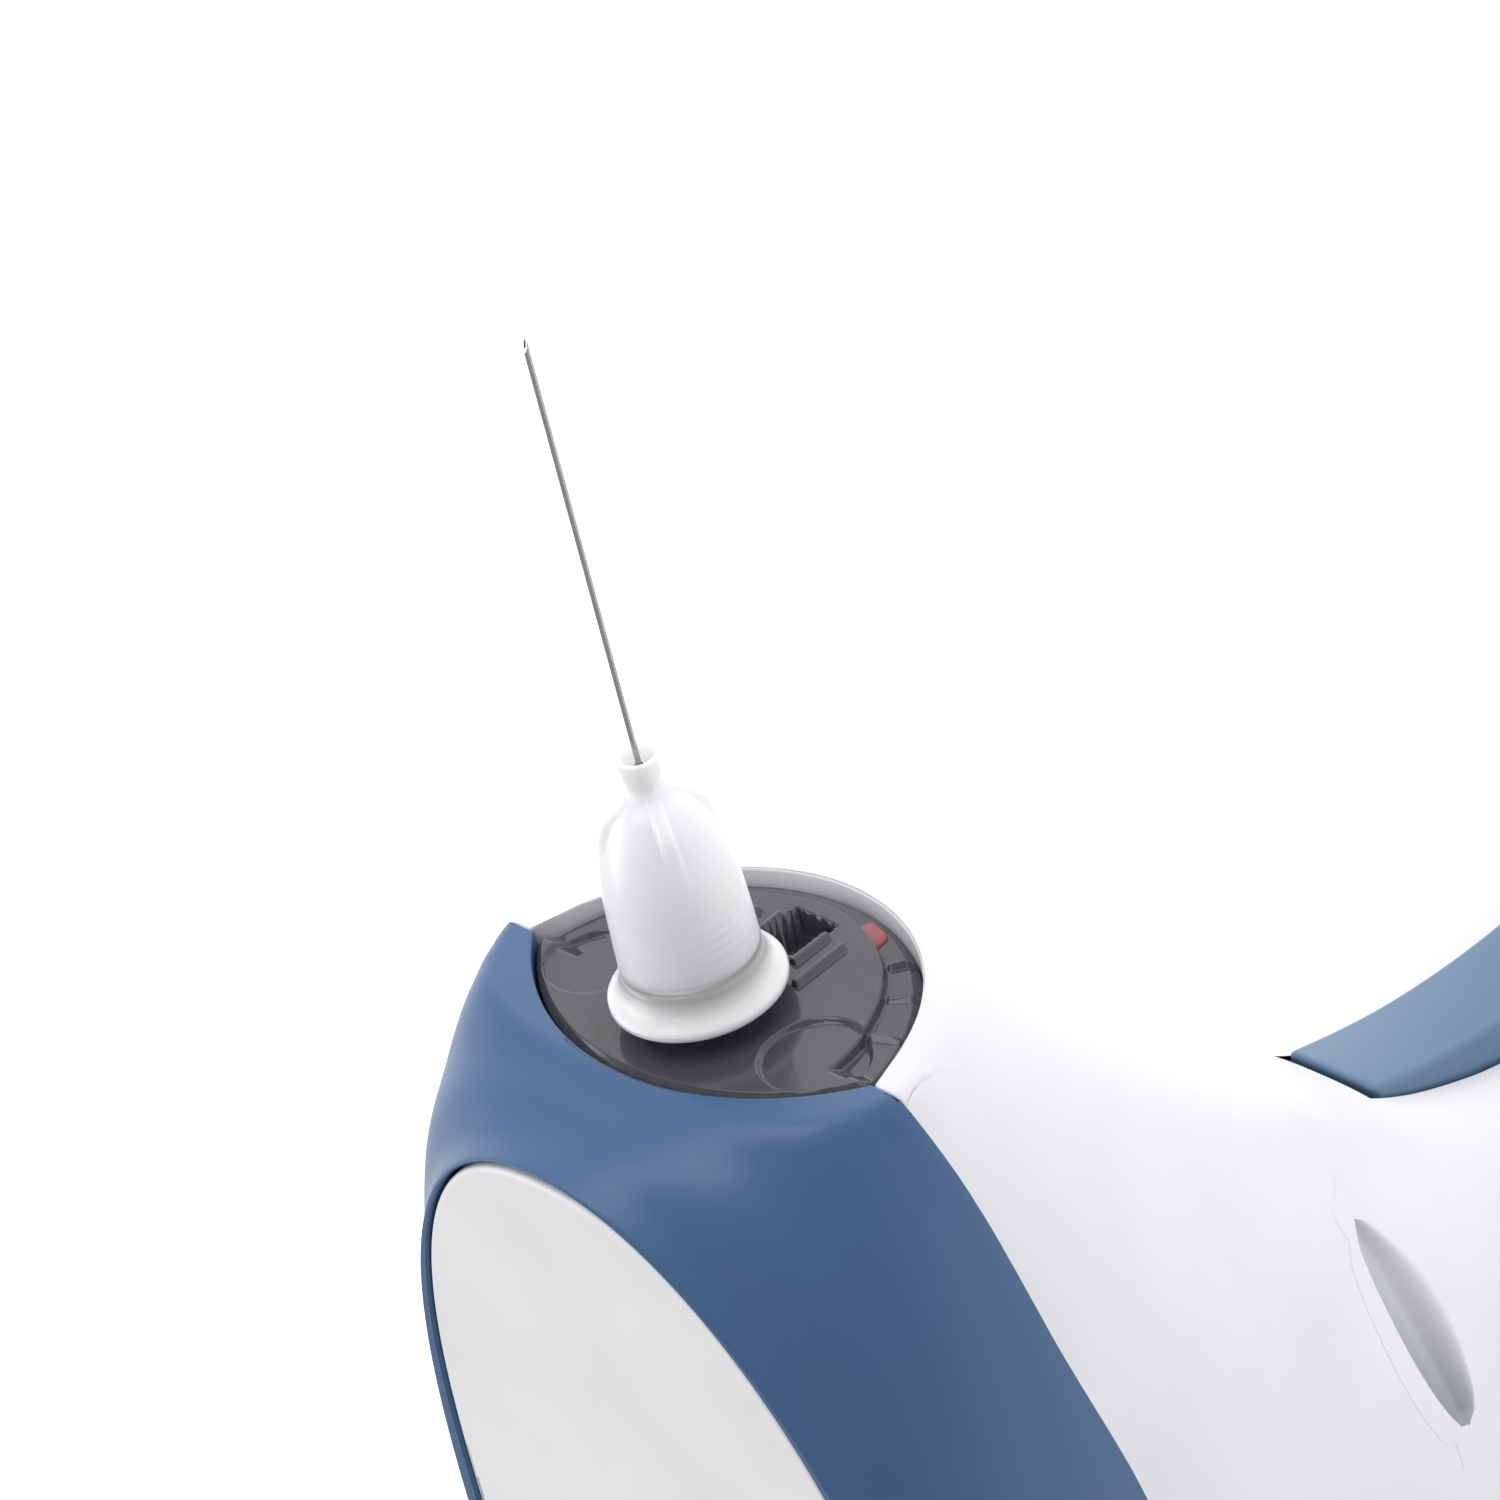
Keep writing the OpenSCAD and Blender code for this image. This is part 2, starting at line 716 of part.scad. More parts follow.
module trigger() {
    color("steelblue") difference() {
        translate([0, trigger_w / 2, 0]) rotate([90, 0, 0]) linear_extrude(trigger_w) polygon(trigger_profile);
        rod_y(trigger_pin_x, trigger_pin_z, -10, 10, trigger_pin_r + run);
    }
}

module trigger_cradle() {
    cheek = [[9, 53], [20.4, 53], [19.8, 62], [19.8, 70], [20.8, 76], [22.4, 81], [22.6, 84.4], [9, 84.4]];
    color("gray") difference() {
        union() {
            for (y = [-5.5, 7.1])
                translate([0, y, 0]) rotate([90, 0, 0]) linear_extrude(1.6) polygon(cheek);
            block([9, -7.1, 53], [11, 7.1, 84.4]);
        }
        rod_y(trigger_pin_x, trigger_pin_z, -12, 12, trigger_pin_r);
    }
}

module trigger_pin() {
    color("silver") rod_y(trigger_pin_x, trigger_pin_z, -8.4, 8.4, trigger_pin_r);
}

module trigger_spring() {
    wire = 0.25;
    color("silver") union() {
        for (i = [0 : 2])
            translate([trigger_pin_x, 3.9 + i * 0.48, trigger_pin_z]) rotate([90, 0, 0])
                rotate_extrude($fn = 32) translate([1.5, 0]) circle(r = wire, $fn = 16);
        translate([trigger_pin_x - 1.5, 4.38, trigger_pin_z - 12]) cylinder(r = wire, h = 12, $fn = 16);
    }
}

module trigger_switch() {
    color([0.15, 0.15, 0.17]) union() {
        block([11, -2.9, 56], [15.4, 2.9, 68]);
        block([15.4, -1, 60.5], [16, 1, 62.5]);
    }
}

// --- Grip ---
module battery_cell() {
    color("mediumseagreen") union() {
        translate([battery_x, 0, battery_z0]) cylinder(r = battery_r, h = battery_len - 1.2, $fn = round_fn);
        translate([battery_x, 0, battery_z0 + battery_len - 1.2]) cylinder(r = 3, h = 1.2, $fn = round_fn);
    }
}

module battery_contacts() {
    color("gold") {
        block([battery_x - 7, -5, battery_z0 - 1], [battery_x + 7, 5, battery_z0 - 0.1]);
        block([battery_x - 7, -5, battery_z0 + battery_len + 0.1], [battery_x + 7, 5, battery_z0 + battery_len + 1]);
    }
}

module base_cap() {
    color([0.9, 0.9, 0.92]) difference() {
        union() {
            stack([for (z = [base_foot_t, 3, 4.5, base_cap_top]) slice(z, 64, 0, nose_x)]);
            intersection() {
                stack([for (z = [base_cap_top, base_cap_top + 2]) slice(z, 64, wall + 0.2, nose_x)]);
                block([-40, -40, base_cap_top], [40, 40, base_cap_top + 2]);
            }
        }
        for (p = charge_xy)
            translate([p[0], p[1], -1]) cylinder(r = charge_r, h = 20, $fn = 32);
    }
}

module base_foot() {
    color("dimgray") difference() {
        stack([for (z = [0, base_foot_t]) slice(z, 64, 1.5, nose_x)]);
        for (p = charge_xy)
            translate([p[0], p[1], -1]) cylinder(r = charge_r + 0.4, h = 4, $fn = 32);
    }
}

module charge_contacts() {
    color("gold") for (p = charge_xy)
        translate([p[0], p[1], 0.5]) cylinder(r = charge_r, h = 8, $fn = 32);
}

needle_cannula();
needle_hub();
hub_glue();
nose_cap();
nose_seal();
lock_indicator();
upper_shell();
left_grip_shell();
right_grip_shell();
shell_screws();
cartridge_hatch();
hatch_pin();
rear_panel();
display_lens();
power_button();
speed_button();
button_board();
cartridge_holder();
cartridge_glass();
cartridge_cap();
cartridge_seal();
stopper();
harpoon();
push_rod();
rod_guide();
drive_nut_gear();
nut_bearings();
gear_frame();
motor_gearbox();
motor();
pinion();
circuit_board();
trigger();
trigger_cradle();
trigger_pin();
trigger_spring();
trigger_switch();
battery_cell();
battery_contacts();
base_cap();
base_foot();
charge_contacts();
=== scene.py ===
import math

import bmesh
import bpy
import numpy as np
from mathutils import Matrix, Vector


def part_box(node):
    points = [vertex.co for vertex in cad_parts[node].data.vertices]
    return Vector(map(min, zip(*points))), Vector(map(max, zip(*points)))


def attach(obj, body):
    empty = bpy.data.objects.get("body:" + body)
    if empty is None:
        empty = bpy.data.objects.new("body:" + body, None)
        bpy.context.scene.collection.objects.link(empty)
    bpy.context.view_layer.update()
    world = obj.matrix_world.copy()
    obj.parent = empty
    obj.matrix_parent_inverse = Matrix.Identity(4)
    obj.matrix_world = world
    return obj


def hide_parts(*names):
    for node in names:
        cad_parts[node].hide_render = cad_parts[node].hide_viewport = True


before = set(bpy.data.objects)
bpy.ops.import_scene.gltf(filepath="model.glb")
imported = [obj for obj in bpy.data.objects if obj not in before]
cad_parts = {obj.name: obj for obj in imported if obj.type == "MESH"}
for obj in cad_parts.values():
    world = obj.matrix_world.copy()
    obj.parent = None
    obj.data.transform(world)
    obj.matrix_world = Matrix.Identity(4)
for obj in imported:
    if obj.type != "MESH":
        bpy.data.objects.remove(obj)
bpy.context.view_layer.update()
MM = 0.001


def low(node):
    return np.array(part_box(node)[0]) / MM


def high(node):
    return np.array(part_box(node)[1]) / MM


# ---------------------------------------------------------------- dimensions
AXIS_Z = float(low("needle_hub")[2] + high("needle_hub")[2]) / 2
HUB_X = float(low("needle_hub")[0])
HUB_LEN = float(high("needle_hub")[0]) - HUB_X
NOSE_X = 59.0
NOSE_ROUND = 1.0
TOP_Z = 132.4
TOP_CROWN = 0.5
TOP_FALL = 4.5
TOP_FALL_LEN = 38
FALL_START_X = 57
# Crown of the top: its middle, its reach to the front and to the rear, and its half-width
CROWN_X, CROWN_FRONT, CROWN_REAR, CROWN_HALF_W = 15, 42, 66, 17.1
HEAD_Z0 = 116
GRIP_Z0 = 6

# Outline of the housing as [height, value], close to the driving lists of the CAD's level slices
FRONT_X = [[0, 28], [25, 26], [50, 25], [65, 23.9], [77, 25.5], [84.4, 29.5], [92.8, 39], [102, 50.3],
           [112, 62.5], [116, 66.1], [120, 67.8], [122, 64.9], [124, 62.3], [126.5, 59.2], [129, 58],
           [132.4, 57]]
REAR_X = [[0, -25], [30, -23], [60, -22], [80, -24], [92, -34], [102, -46], [112, -55], [120, -58],
          [128, -56], [131, -53], [132.4, -51]]
HALF_W = [[0, 19], [15, 17.3], [40, 16.6], [65, 17.2], [80, 16], [97, 17.9],
          [102, 18.6], [112, 20.6], [120, 20.75], [126.5, 19.7], [129, 19.1], [131, 18.4], [132.4, 17.6]]
CENTRE_X = [[0, 0], [70, 0], [90, 8], [104, 15], [132.4, 15]]
SIDE_POWER = [[0, 2.4], [60, 3.6], [76, 3.3], [85, 2.6], [92, 2.1], [100, 2], [116, 2], [120, 2.3],
              [123, 3], [126.5, 3.5], [129, 3], [131, 2.2], [132.4, 2]]
END_POWER = [[0, 2.4], [60, 2.6], [80, 2], [95, 2.2], [104, 2.6], [132.4, 2.6]]
SEAM_Z = [[-60, 118], [-45, 116], [-15, 115], [15, 115], [34, 116.65], [44, 118.5], [55, 119.7], [59, 120.3]]
# Lowest height at which the seam is looked for, and the height used where it isn't found
SEAM_SEARCH_Z, SEAM_SPARE_Z = 108, 116

OVAL_FRONT_X, OVAL_REAR_X, OVAL_CENTRE_X = 57, -49, 18
OVAL_HALF_W, OVAL_POWER = 16.55, 2.6
PANEL_T = 1.5
PANEL_SKIRT, LEDGE_SKIRT = 1.1, 1.0
# Radius of a rolled edge and the depth that it runs in to
SOFT_EDGE_R = 0.3
SEAM_EDGE_R, SEAM_EDGE_DEPTH = 0.16, 2.6
BASE_EDGE_R, BASE_EDGE_DEPTH = 0.12, 1.6
HINGE_X, HINGE_Z, HINGE_R = -8, 126.8, 1.9

# Nose cap: two arcs, the upper one flatter
CAP_UPPER_R, CAP_UPPER_Z = 15.3, AXIS_Z - 9.5
CAP_LOWER_R, CAP_LOWER_Z = 11.8, AXIS_Z + 1.6
CAP_MIDDLE_Z = AXIS_Z - 1
CAP_GAP = 0.17
CAP_FRONT_X, CAP_BEVEL = 58.9, 0.45

TRIGGER_TOP_Z = float(high("trigger")[2])
TRIGGER_HALF_W = float(high("trigger")[1])
SLOT_HALF_W = TRIGGER_HALF_W + 0.3
SLOT_Z = (50.0, TRIGGER_TOP_Z + 0.6)


# ---------------------------------------------------------------- curves and surfaces
def curve(points, x):
    """Smooth curve through [x, y] points: one cubic on each span."""
    px = np.array([p[0] for p in points], float)
    py = np.array([p[1] for p in points], float)
    w = np.diff(px)
    s = np.diff(py) / w
    inner = (s[:-1] * w[1:] + s[1:] * w[:-1]) / (w[:-1] + w[1:])
    m = np.concatenate([[s[0]], inner, [s[-1]]])
    xc = np.clip(np.asarray(x, float), px[0], px[-1])
    i = np.clip(np.searchsorted(px, xc, side="right") - 1, 0, len(w) - 1)
    t = (xc - px[i]) / w[i]
    return ((2 * t**3 - 3 * t**2 + 1) * py[i] + (t**3 - 2 * t**2 + t) * w[i] * m[i]
            + (3 * t**2 - 2 * t**3) * py[i + 1] + (t**3 - t**2) * w[i] * m[i + 1])


def signed_pow(v, e):
    return np.sign(v) * np.abs(v) ** e


def soft_min(v, limit, k=0.5):
    h = np.clip(0.5 + 0.5 * (limit - v) / k, 0, 1)
    return limit + (v - limit) * h - k * h * (1 - h)


def smooth_step(v, lo, hi):
    t = np.clip((v - lo) / (hi - lo), 0, 1)
    return t * t * (3 - 2 * t)


def band(v, lo, hi, soft=0.12):
    """1 between lo and hi, falling to 0 over a soft edge."""
    return smooth_step(v, lo - soft, lo) * (1 - smooth_step(v, hi, hi + soft))


def fall(x):
    return TOP_FALL * (1 - np.exp(-np.maximum(0, FALL_START_X - x) / TOP_FALL_LEN))


def raw_front(z, a):
    """X of the slice outline at height z and angle a, before the nose cuts it."""
    u = signed_pow(np.cos(a), 2 / curve(END_POWER, z))
    c = curve(CENTRE_X, z)
    reach = np.where(u > 0, curve(FRONT_X, z) - c, c - curve(REAR_X, z))
    return c + reach * u


def housing(z, a):
    """Point of the housing's outside at slice height z and angle a round it."""
    x = soft_min(raw_front(z, a), NOSE_X, NOSE_ROUND)
    y = curve(HALF_W, z) * signed_pow(np.sin(a), 2 / curve(SIDE_POWER, z))
    share = np.clip((z - HEAD_Z0) / (TOP_Z - HEAD_Z0), 0, 1)
    return np.stack([x, y, z - fall(x) * share], -1)


def top_height(x, y):
    """Height of the crowned top over (x, y)."""
    reach = np.where(x > CROWN_X, CROWN_FRONT, CROWN_REAR)
    ring = np.clip(((x - CROWN_X) / reach) ** 2 + (y / CROWN_HALF_W) ** 2, 0, 1)
    return TOP_Z + TOP_CROWN * (1 - ring) - fall(x)


def oval(a, inset=0.0):
    u = signed_pow(np.cos(a), 2 / OVAL_POWER)
    reach = np.where(u > 0, OVAL_FRONT_X - OVAL_CENTRE_X, OVAL_CENTRE_X - OVAL_REAR_X)
    return np.stack([OVAL_CENTRE_X + (reach - inset) * u, (OVAL_HALF_W - inset) * np.sin(a)], -1)


def in_cap_hole(p, x_raw):
    """True where a point of the nose lies inside the nose cap's opening."""
    upper = p[..., 1] ** 2 + (p[..., 2] - CAP_UPPER_Z) ** 2 < (CAP_UPPER_R + CAP_GAP) ** 2
    lower = p[..., 1] ** 2 + (p[..., 2] - CAP_LOWER_Z) ** 2 < (CAP_LOWER_R + CAP_GAP) ** 2
    return upper & lower & (x_raw > NOSE_X - 0.5)


def first_crossing(s, flags, default):
    """Value of s where flags first turns true, or default."""
    if not flags.any():
        return default
    return s[int(np.argmax(flags))]


def last_true(s, flags, default):
    if not flags.any():
        return default
    return s[len(flags) - 1 - int(np.argmax(flags[::-1]))]


def resample(points, fractions):
    """Points at the given fractions of a polyline's length."""
    step = np.linalg.norm(np.diff(points, axis=0), axis=1)
    run = np.concatenate([[0], np.cumsum(step)])
    if run[-1] < 1e-9:
        return np.repeat(points[:1], len(fractions), axis=0)
    return np.stack([np.interp(fractions * run[-1], run, points[:, k]) for k in range(3)], -1)


def column(a, z_start, z_end, rows_side, rows_nose, nose_first=False):
    """One line of points along the housing at angle a, with a row on the nose's edge where it crosses it."""
    z = np.linspace(z_start, z_end, 500)
    cut = raw_front(z, a) > NOSE_X
    z_edge = last_true(z, cut, z_start) if nose_first else first_crossing(z, cut, z_end)
    rows = (rows_nose, rows_side) if nose_first else (rows_side, rows_nose)
    to_edge = 1 - (1 - np.linspace(0, 1, rows[0] + 1)) ** 1.5
    from_edge = np.linspace(0, 1, rows[1] + 1) ** 1.5
    head = resample(housing(np.linspace(z_start, z_edge, 300), a), to_edge)
    tail = resample(housing(np.linspace(z_edge, z_end, 300), a), from_edge)
    return np.concatenate([head, tail[1:]])


def unit(v):
    return v / np.maximum(np.linalg.norm(v, axis=-1, keepdims=True), 1e-12)


def grid_normals(g, closed=False):
    """Normals of a grid of points g[row, column]."""
    du = np.gradient(g, axis=0)
    if closed:
        dv = np.roll(g, -1, axis=1) - np.roll(g, 1, axis=1)
    else:
        dv = np.gradient(g, axis=1)
    return unit(np.cross(du, dv))


def border(g, r, depth, end, side=1, closed=False, turns=4):
    """Rounds an edge row of a grid over by radius r and runs it in to depth.

    side is the sign that makes the grid's normals point out.
    """
    n = grid_normals(g, closed) * side
    edge, inner, normal = (g[-1], g[-2], n[-2]) if end else (g[0], g[1], n[1])
    t = unit(edge - inner)
    start = edge - r * t
    angles = np.linspace(0, math.pi / 2, turns + 1)
    rows = [start + r * t * math.sin(k) - r * normal * (1 - math.cos(k)) for k in angles]
    rows.append(rows[-1] - depth * normal)
    rows = np.array(rows)
    return np.concatenate([g[:-1], rows]) if end else np.concatenate([rows[::-1], g[1:]])


# ---------------------------------------------------------------- mesh making
# Points closer than this, in metres, are one point
WELD = 1e-6


def turn_outward(bm):
    """Flips every face of a piece whose faces mostly look towards its middle."""
    middle = sum((f.calc_center_median() for f in bm.faces), Vector()) / len(bm.faces)
    away = sum(f.calc_area() * f.normal.dot(f.calc_center_median() - middle) for f in bm.faces)
    if away < 0:
        bmesh.ops.reverse_faces(bm, faces=bm.faces)


def mesh_object(name, verts, faces):
    mesh = bpy.data.meshes.new(name)
    mesh.from_pydata([tuple(v) for v in np.asarray(verts) * MM], [], faces)
    mesh.validate()
    bm = bmesh.new()
    bm.from_mesh(mesh)
    bmesh.ops.remove_doubles(bm, verts=bm.verts, dist=WELD)
    bmesh.ops.dissolve_degenerate(bm, edges=bm.edges, dist=WELD)
    bmesh.ops.recalc_face_normals(bm, faces=bm.faces)
    turn_outward(bm)
    for f in bm.faces:
        f.smooth = True
    bm.to_mesh(mesh)
    bm.free()
    obj = bpy.data.objects.new(name, mesh)
    bpy.context.scene.collection.objects.link(obj)
    return obj


def grid_faces(rows, cols, closed=False, start=0):
    faces = []
    for i in range(rows - 1):
        for j in range(cols if closed else cols - 1):
            k = (j + 1) % cols
            here = start + i * cols
            below = here + cols
            faces.append((here + j, here + k, below + k, below + j))
    return faces


def grids_object(name, grids, closed=False):
    verts, faces = [], []
    for g in grids:
        start = len(verts)
        verts.extend(g.reshape(-1, 3))
        faces.extend(grid_faces(g.shape[0], g.shape[1], closed, start))
    return mesh_object(name, verts, faces)


def revolve(profile, segments=96):
    """Turns a profile of [radius, x] points round the needle's axis."""
    a = np.linspace(0, 2 * math.pi, segments, endpoint=False)
    return np.array([[[x, r * math.sin(k), AXIS_Z + r * math.cos(k)] for k in a] for r, x in profile])


def show(obj, body, slot, material, *nodes):
    """Rides a piece on a body, gives it its material, and hides the CAD nodes that it stands for; the slot
    is not used.
    """
    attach(obj, body)
    if nodes:
        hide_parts(*nodes)
    obj.data.materials.clear()
    obj.data.materials.append(material)
    return obj


# ---------------------------------------------------------------- materials
# Direction in which painted shade darkens the scoop, in its own coordinates, and the two ends of the painted
# shade along it
SCOOP_SHADE_DIRECTION = (-0.25, 0, 1)
SCOOP_SHADE_FROM, SCOOP_SHADE_TO = 0.0845, 0.0893
# Plain white of the scoop and the grey-blue of its painted shade
SCOOP_LIGHT, SCOOP_PAINTED_SHADE = (0.8, 0.8, 0.83), (0.19, 0.225, 0.255)
ROUGH_SPREAD = 0.06
GRAIN_STRENGTH = 0.35
HUB_FOOT, HUB_NECK = (0.86, 0.86, 0.885), (0.84, 0.84, 0.865)
HUB_STOPS = ((0.08, 0.84), (0.13, 0.8), (0.4, 0.86))
RING_SCALE, RING_STRENGTH, RING_TONE = 560, 0.14, (0.42, 0.42, 0.48, 1)


def new_material(name):
    m = bpy.data.materials.new(name)
    m.use_nodes = True
    return m, m.node_tree.nodes, m.node_tree.links, m.node_tree.nodes["Principled BSDF"]


def noise(nodes, links, scale, detail=4.0, rough=0.6):
    """Noise texture on object coordinates; scale is in cycles per metre."""
    coord = nodes.new("ShaderNodeTexCoord")
    tex = nodes.new("ShaderNodeTexNoise")
    tex.inputs["Scale"].default_value = scale
    tex.inputs["Detail"].default_value = detail
    tex.inputs["Roughness"].default_value = rough
    links.new(coord.outputs["Object"], tex.inputs["Vector"])
    return tex


def ramp(nodes, links, source, lo, hi, at=(0.3, 0.7)):
    r = nodes.new("ShaderNodeValToRGB")
    r.color_ramp.elements[0].position = at[0]
    r.color_ramp.elements[0].color = (*lo, 1)
    r.color_ramp.elements[1].position = at[1]
    r.color_ramp.elements[1].color = (*hi, 1)
    links.new(source, r.inputs["Fac"])
    return r


def flow_marks(nodes, links, bsdf, color, vary, scale, detail):
    """Varies the base colour a little in broad patches."""
    flow = noise(nodes, links, scale, detail, 0.5)
    lo = tuple(c * (1 - vary) for c in color)
    hi = tuple(min(1, c * (1 + vary)) for c in color)
    links.new(ramp(nodes, links, flow.outputs["Fac"], lo, hi).outputs["Color"], bsdf.inputs["Base Color"])


def rough_range(nodes, links, bsdf, source, rough, spread):
    """Varies the roughness about a middle value with a texture."""
    span = nodes.new("ShaderNodeMapRange")
    span.inputs["To Min"].default_value = rough - spread
    span.inputs["To Max"].default_value = rough + spread
    links.new(source, span.inputs["Value"])
    links.new(span.outputs["Result"], bsdf.inputs["Roughness"])


def product(nodes, links, first, second):
    """Multiplies a socket by another socket or by a number."""
    node = nodes.new("ShaderNodeMath")
    node.operation = "MULTIPLY"
    links.new(first, node.inputs[0])
    if isinstance(second, float):
        node.inputs[1].default_value = second
    else:
        links.new(second, node.inputs[1])
    return node.outputs["Value"]


def plastic(name, color, rough, grain=0.012, grain_scale=5200, vary=0.03, spec=0.5):
    """Moulded plastic: spark-eroded grain in bump and roughness, and faint flow marks in the colour."""
    m, nodes, links, bsdf = new_material(name)
    flow_marks(nodes, links, bsdf, color, vary, 90, 3)
    fine = noise(nodes, links, grain_scale, 2, 0.7)
    rough_range(nodes, links, bsdf, fine.outputs["Fac"], rough, ROUGH_SPREAD)
    bump = nodes.new("ShaderNodeBump")
    bump.inputs["Strength"].default_value = GRAIN_STRENGTH
    bump.inputs["Distance"].default_value = grain * MM
    links.new(fine.outputs["Fac"], bump.inputs["Height"])
    links.new(bump.outputs["Normal"], bsdf.inputs["Normal"])
    bsdf.inputs["Specular IOR Level"].default_value = spec
    return m


def metal(name, color, rough):
    """Metal with drawn streaks that vary its colour and roughness."""
    m, nodes, links, bsdf = new_material(name)
    coord = nodes.new("ShaderNodeTexCoord")
    mapping = nodes.new("ShaderNodeMapping")
    mapping.inputs["Scale"].default_value = (1, 60, 60)
    tex = nodes.new("ShaderNodeTexNoise")
    tex.inputs["Scale"].default_value = 900
    links.new(coord.outputs["Object"], mapping.inputs["Vector"])
    links.new(mapping.outputs["Vector"], tex.inputs["Vector"])
    bsdf.inputs["Metallic"].default_value = 1.0
    lo = tuple(c * 0.9 for c in color)
    links.new(ramp(nodes, links, tex.outputs["Fac"], lo, color).outputs["Color"], bsdf.inputs["Base Color"])
    rough_range(nodes, links, bsdf, tex.outputs["Fac"], rough, 0.08)
    return m


def clear(name, color, rough, ior, through=1.0):
    """Clear moulding: transmission tinted by the base colour, with faint flow marks."""
    m, nodes, links, bsdf = new_material(name)
    flow_marks(nodes, links, bsdf, color, 0.1, 140, 2)
    bsdf.inputs["Transmission Weight"].default_value = through
    bsdf.inputs["Roughness"].default_value = rough
    bsdf.inputs["IOR"].default_value = ior
    return m


def scoop_plastic_with_painted_shade():
    """White plastic of the scoop with painted shade: greyer towards its sharp upper edge and its rear end,
    where the recess is deepest.
    """
    m = plastic("scoop_white_painted_shade", SCOOP_LIGHT, 0.4)
    nodes, links = m.node_tree.nodes, m.node_tree.links
    bsdf = nodes["Principled BSDF"]
    coord = nodes.new("ShaderNodeTexCoord")
    dot = nodes.new("ShaderNodeVectorMath")
    dot.operation = "DOT_PRODUCT"
    dot.inputs[1].default_value = SCOOP_SHADE_DIRECTION
    links.new(coord.outputs["Object"], dot.inputs[0])
    shift = nodes.new("ShaderNodeMapRange")
    shift.inputs["From Min"].default_value = SCOOP_SHADE_FROM
    shift.inputs["From Max"].default_value = SCOOP_SHADE_TO
    links.new(dot.outputs["Value"], shift.inputs["Value"])
    # Painted shade: the base colour fades from white to grey-blue across the scoop
    tone = ramp(nodes, links, shift.outputs["Result"], SCOOP_LIGHT, SCOOP_PAINTED_SHADE, at=(0.0, 1.0))
    links.new(tone.outputs["Color"], bsdf.inputs["Base Color"])
    return m


def translucent_hub():
    """Milky hub: base colour greyer in a band a little above its base, with the thread inside it showing as
    faint rings.
    """
    m, nodes, links, bsdf = new_material("hub_translucent")
    coord = nodes.new("ShaderNodeTexCoord")
    split = nodes.new("ShaderNodeSeparateXYZ")
    links.new(coord.outputs["Object"], split.inputs["Vector"])
    along = nodes.new("ShaderNodeMapRange")
    along.inputs["From Min"].default_value = HUB_X * MM
    along.inputs["From Max"].default_value = (HUB_X + HUB_LEN) * MM
    links.new(split.outputs["X"], along.inputs["Value"])
    tone = ramp(nodes, links, along.outputs["Result"], HUB_FOOT, HUB_NECK, at=(0.05, 0.7))
    for at, grey in HUB_STOPS:
        stop = tone.color_ramp.elements.new(at)
        stop.color = (grey, grey, grey * 1.035, 1)
    wave = nodes.new("ShaderNodeTexWave")
    wave.inputs["Scale"].default_value = RING_SCALE
    wave.inputs["Distortion"].default_value = 1.5
    wave.inputs["Detail"].default_value = 1
    links.new(coord.outputs["Object"], wave.inputs["Vector"])
    blotch = noise(nodes, links, 420, 2, 0.5)
    patch = ramp(nodes, links, blotch.outputs["Fac"], (0, 0, 0), (1, 1, 1), at=(0.45, 0.7))
    reach = ramp(nodes, links, along.outputs["Result"], (1, 1, 1), (0, 0, 0), at=(0.38, 0.5))
    area = product(nodes, links, patch.outputs["Color"], reach.outputs["Color"])
    rings = product(nodes, links, wave.outputs["Fac"], area)
    strength = product(nodes, links, rings, RING_STRENGTH)
    mix = nodes.new("ShaderNodeMix")
    mix.data_type = "RGBA"
    mix.inputs[7].default_value = RING_TONE
    links.new(strength, mix.inputs[0])
    links.new(tone.outputs["Color"], mix.inputs[6])
    links.new(mix.outputs[2], bsdf.inputs["Base Color"])
    bsdf.inputs["Roughness"].default_value = 0.28
    bsdf.inputs["Subsurface Weight"].default_value = 0.75
    bsdf.inputs["Subsurface Radius"].default_value = (1, 1, 1)
    bsdf.inputs["Subsurface Scale"].default_value = 0.0015
    return m


WHITE = plastic("white_shell", (0.765, 0.765, 0.795), 0.36, grain=0.022, grain_scale=4200, spec=0.45)
SCOOP_WITH_PAINTED_SHADE = scoop_plastic_with_painted_shade()
PANEL = plastic("panel_white", (0.84, 0.84, 0.865), 0.42, grain=0.008, spec=0.4)
BLUE = plastic("blue_shell", (0.042, 0.112, 0.248), 0.4, grain=0.010, vary=0.02)
# Near-black painted shade for the wall behind the nose cap, in place of its blue
NOSE_WELL_SHADE = plastic("nose_well_painted_shade", (0.07, 0.07, 0.085), 0.4)
TRIGGER_BLUE = plastic("trigger_blue", (0.1, 0.185, 0.305), 0.34, grain=0.006, vary=0.02)
BUTTON = plastic("button_blue", (0.2, 0.32, 0.47), 0.4)
DARK = plastic("dark_frame", (0.035, 0.035, 0.04), 0.5)
RED_SMOKED = plastic("red_smoked", (0.3, 0.05, 0.07), 0.25)
RED = plastic("red_flag", (0.5, 0.035, 0.045), 0.3)
RUBBER = plastic("rubber", (0.03, 0.03, 0.033), 0.75, grain=0.03, grain_scale=2500, spec=0.3)
SEAL = plastic("seal_rubber", (0.09, 0.09, 0.1), 0.6, grain=0.02, grain_scale=2500)
HUB = translucent_hub()
GLUE = plastic("glue", (0.1, 0.095, 0.09), 0.25)
BOARD = plastic("circuit_board", (0.02, 0.13, 0.06), 0.3, grain=0.02, grain_scale=900, vary=0.3)
WRAP = plastic("battery_wrap", (0.03, 0.22, 0.14), 0.25, vary=0.1)
SMOKE = clear("smoke", (0.11, 0.11, 0.13), 0.1, 1.52, 0.5)
GLASS = clear("glass", (0.9, 0.95, 0.95), 0.02, 1.5)
SCREEN = plastic("screen", (0.012, 0.013, 0.018), 0.1, grain=0.002)
STEEL = metal("steel", (0.42, 0.41, 0.42), 0.28)
SHINY = metal("bright_steel", (0.62, 0.62, 0.64), 0.25)
ALUMINIUM = metal("aluminium", (0.8, 0.8, 0.81), 0.35)
BRASS = metal("brass", (0.72, 0.52, 0.22), 0.35)

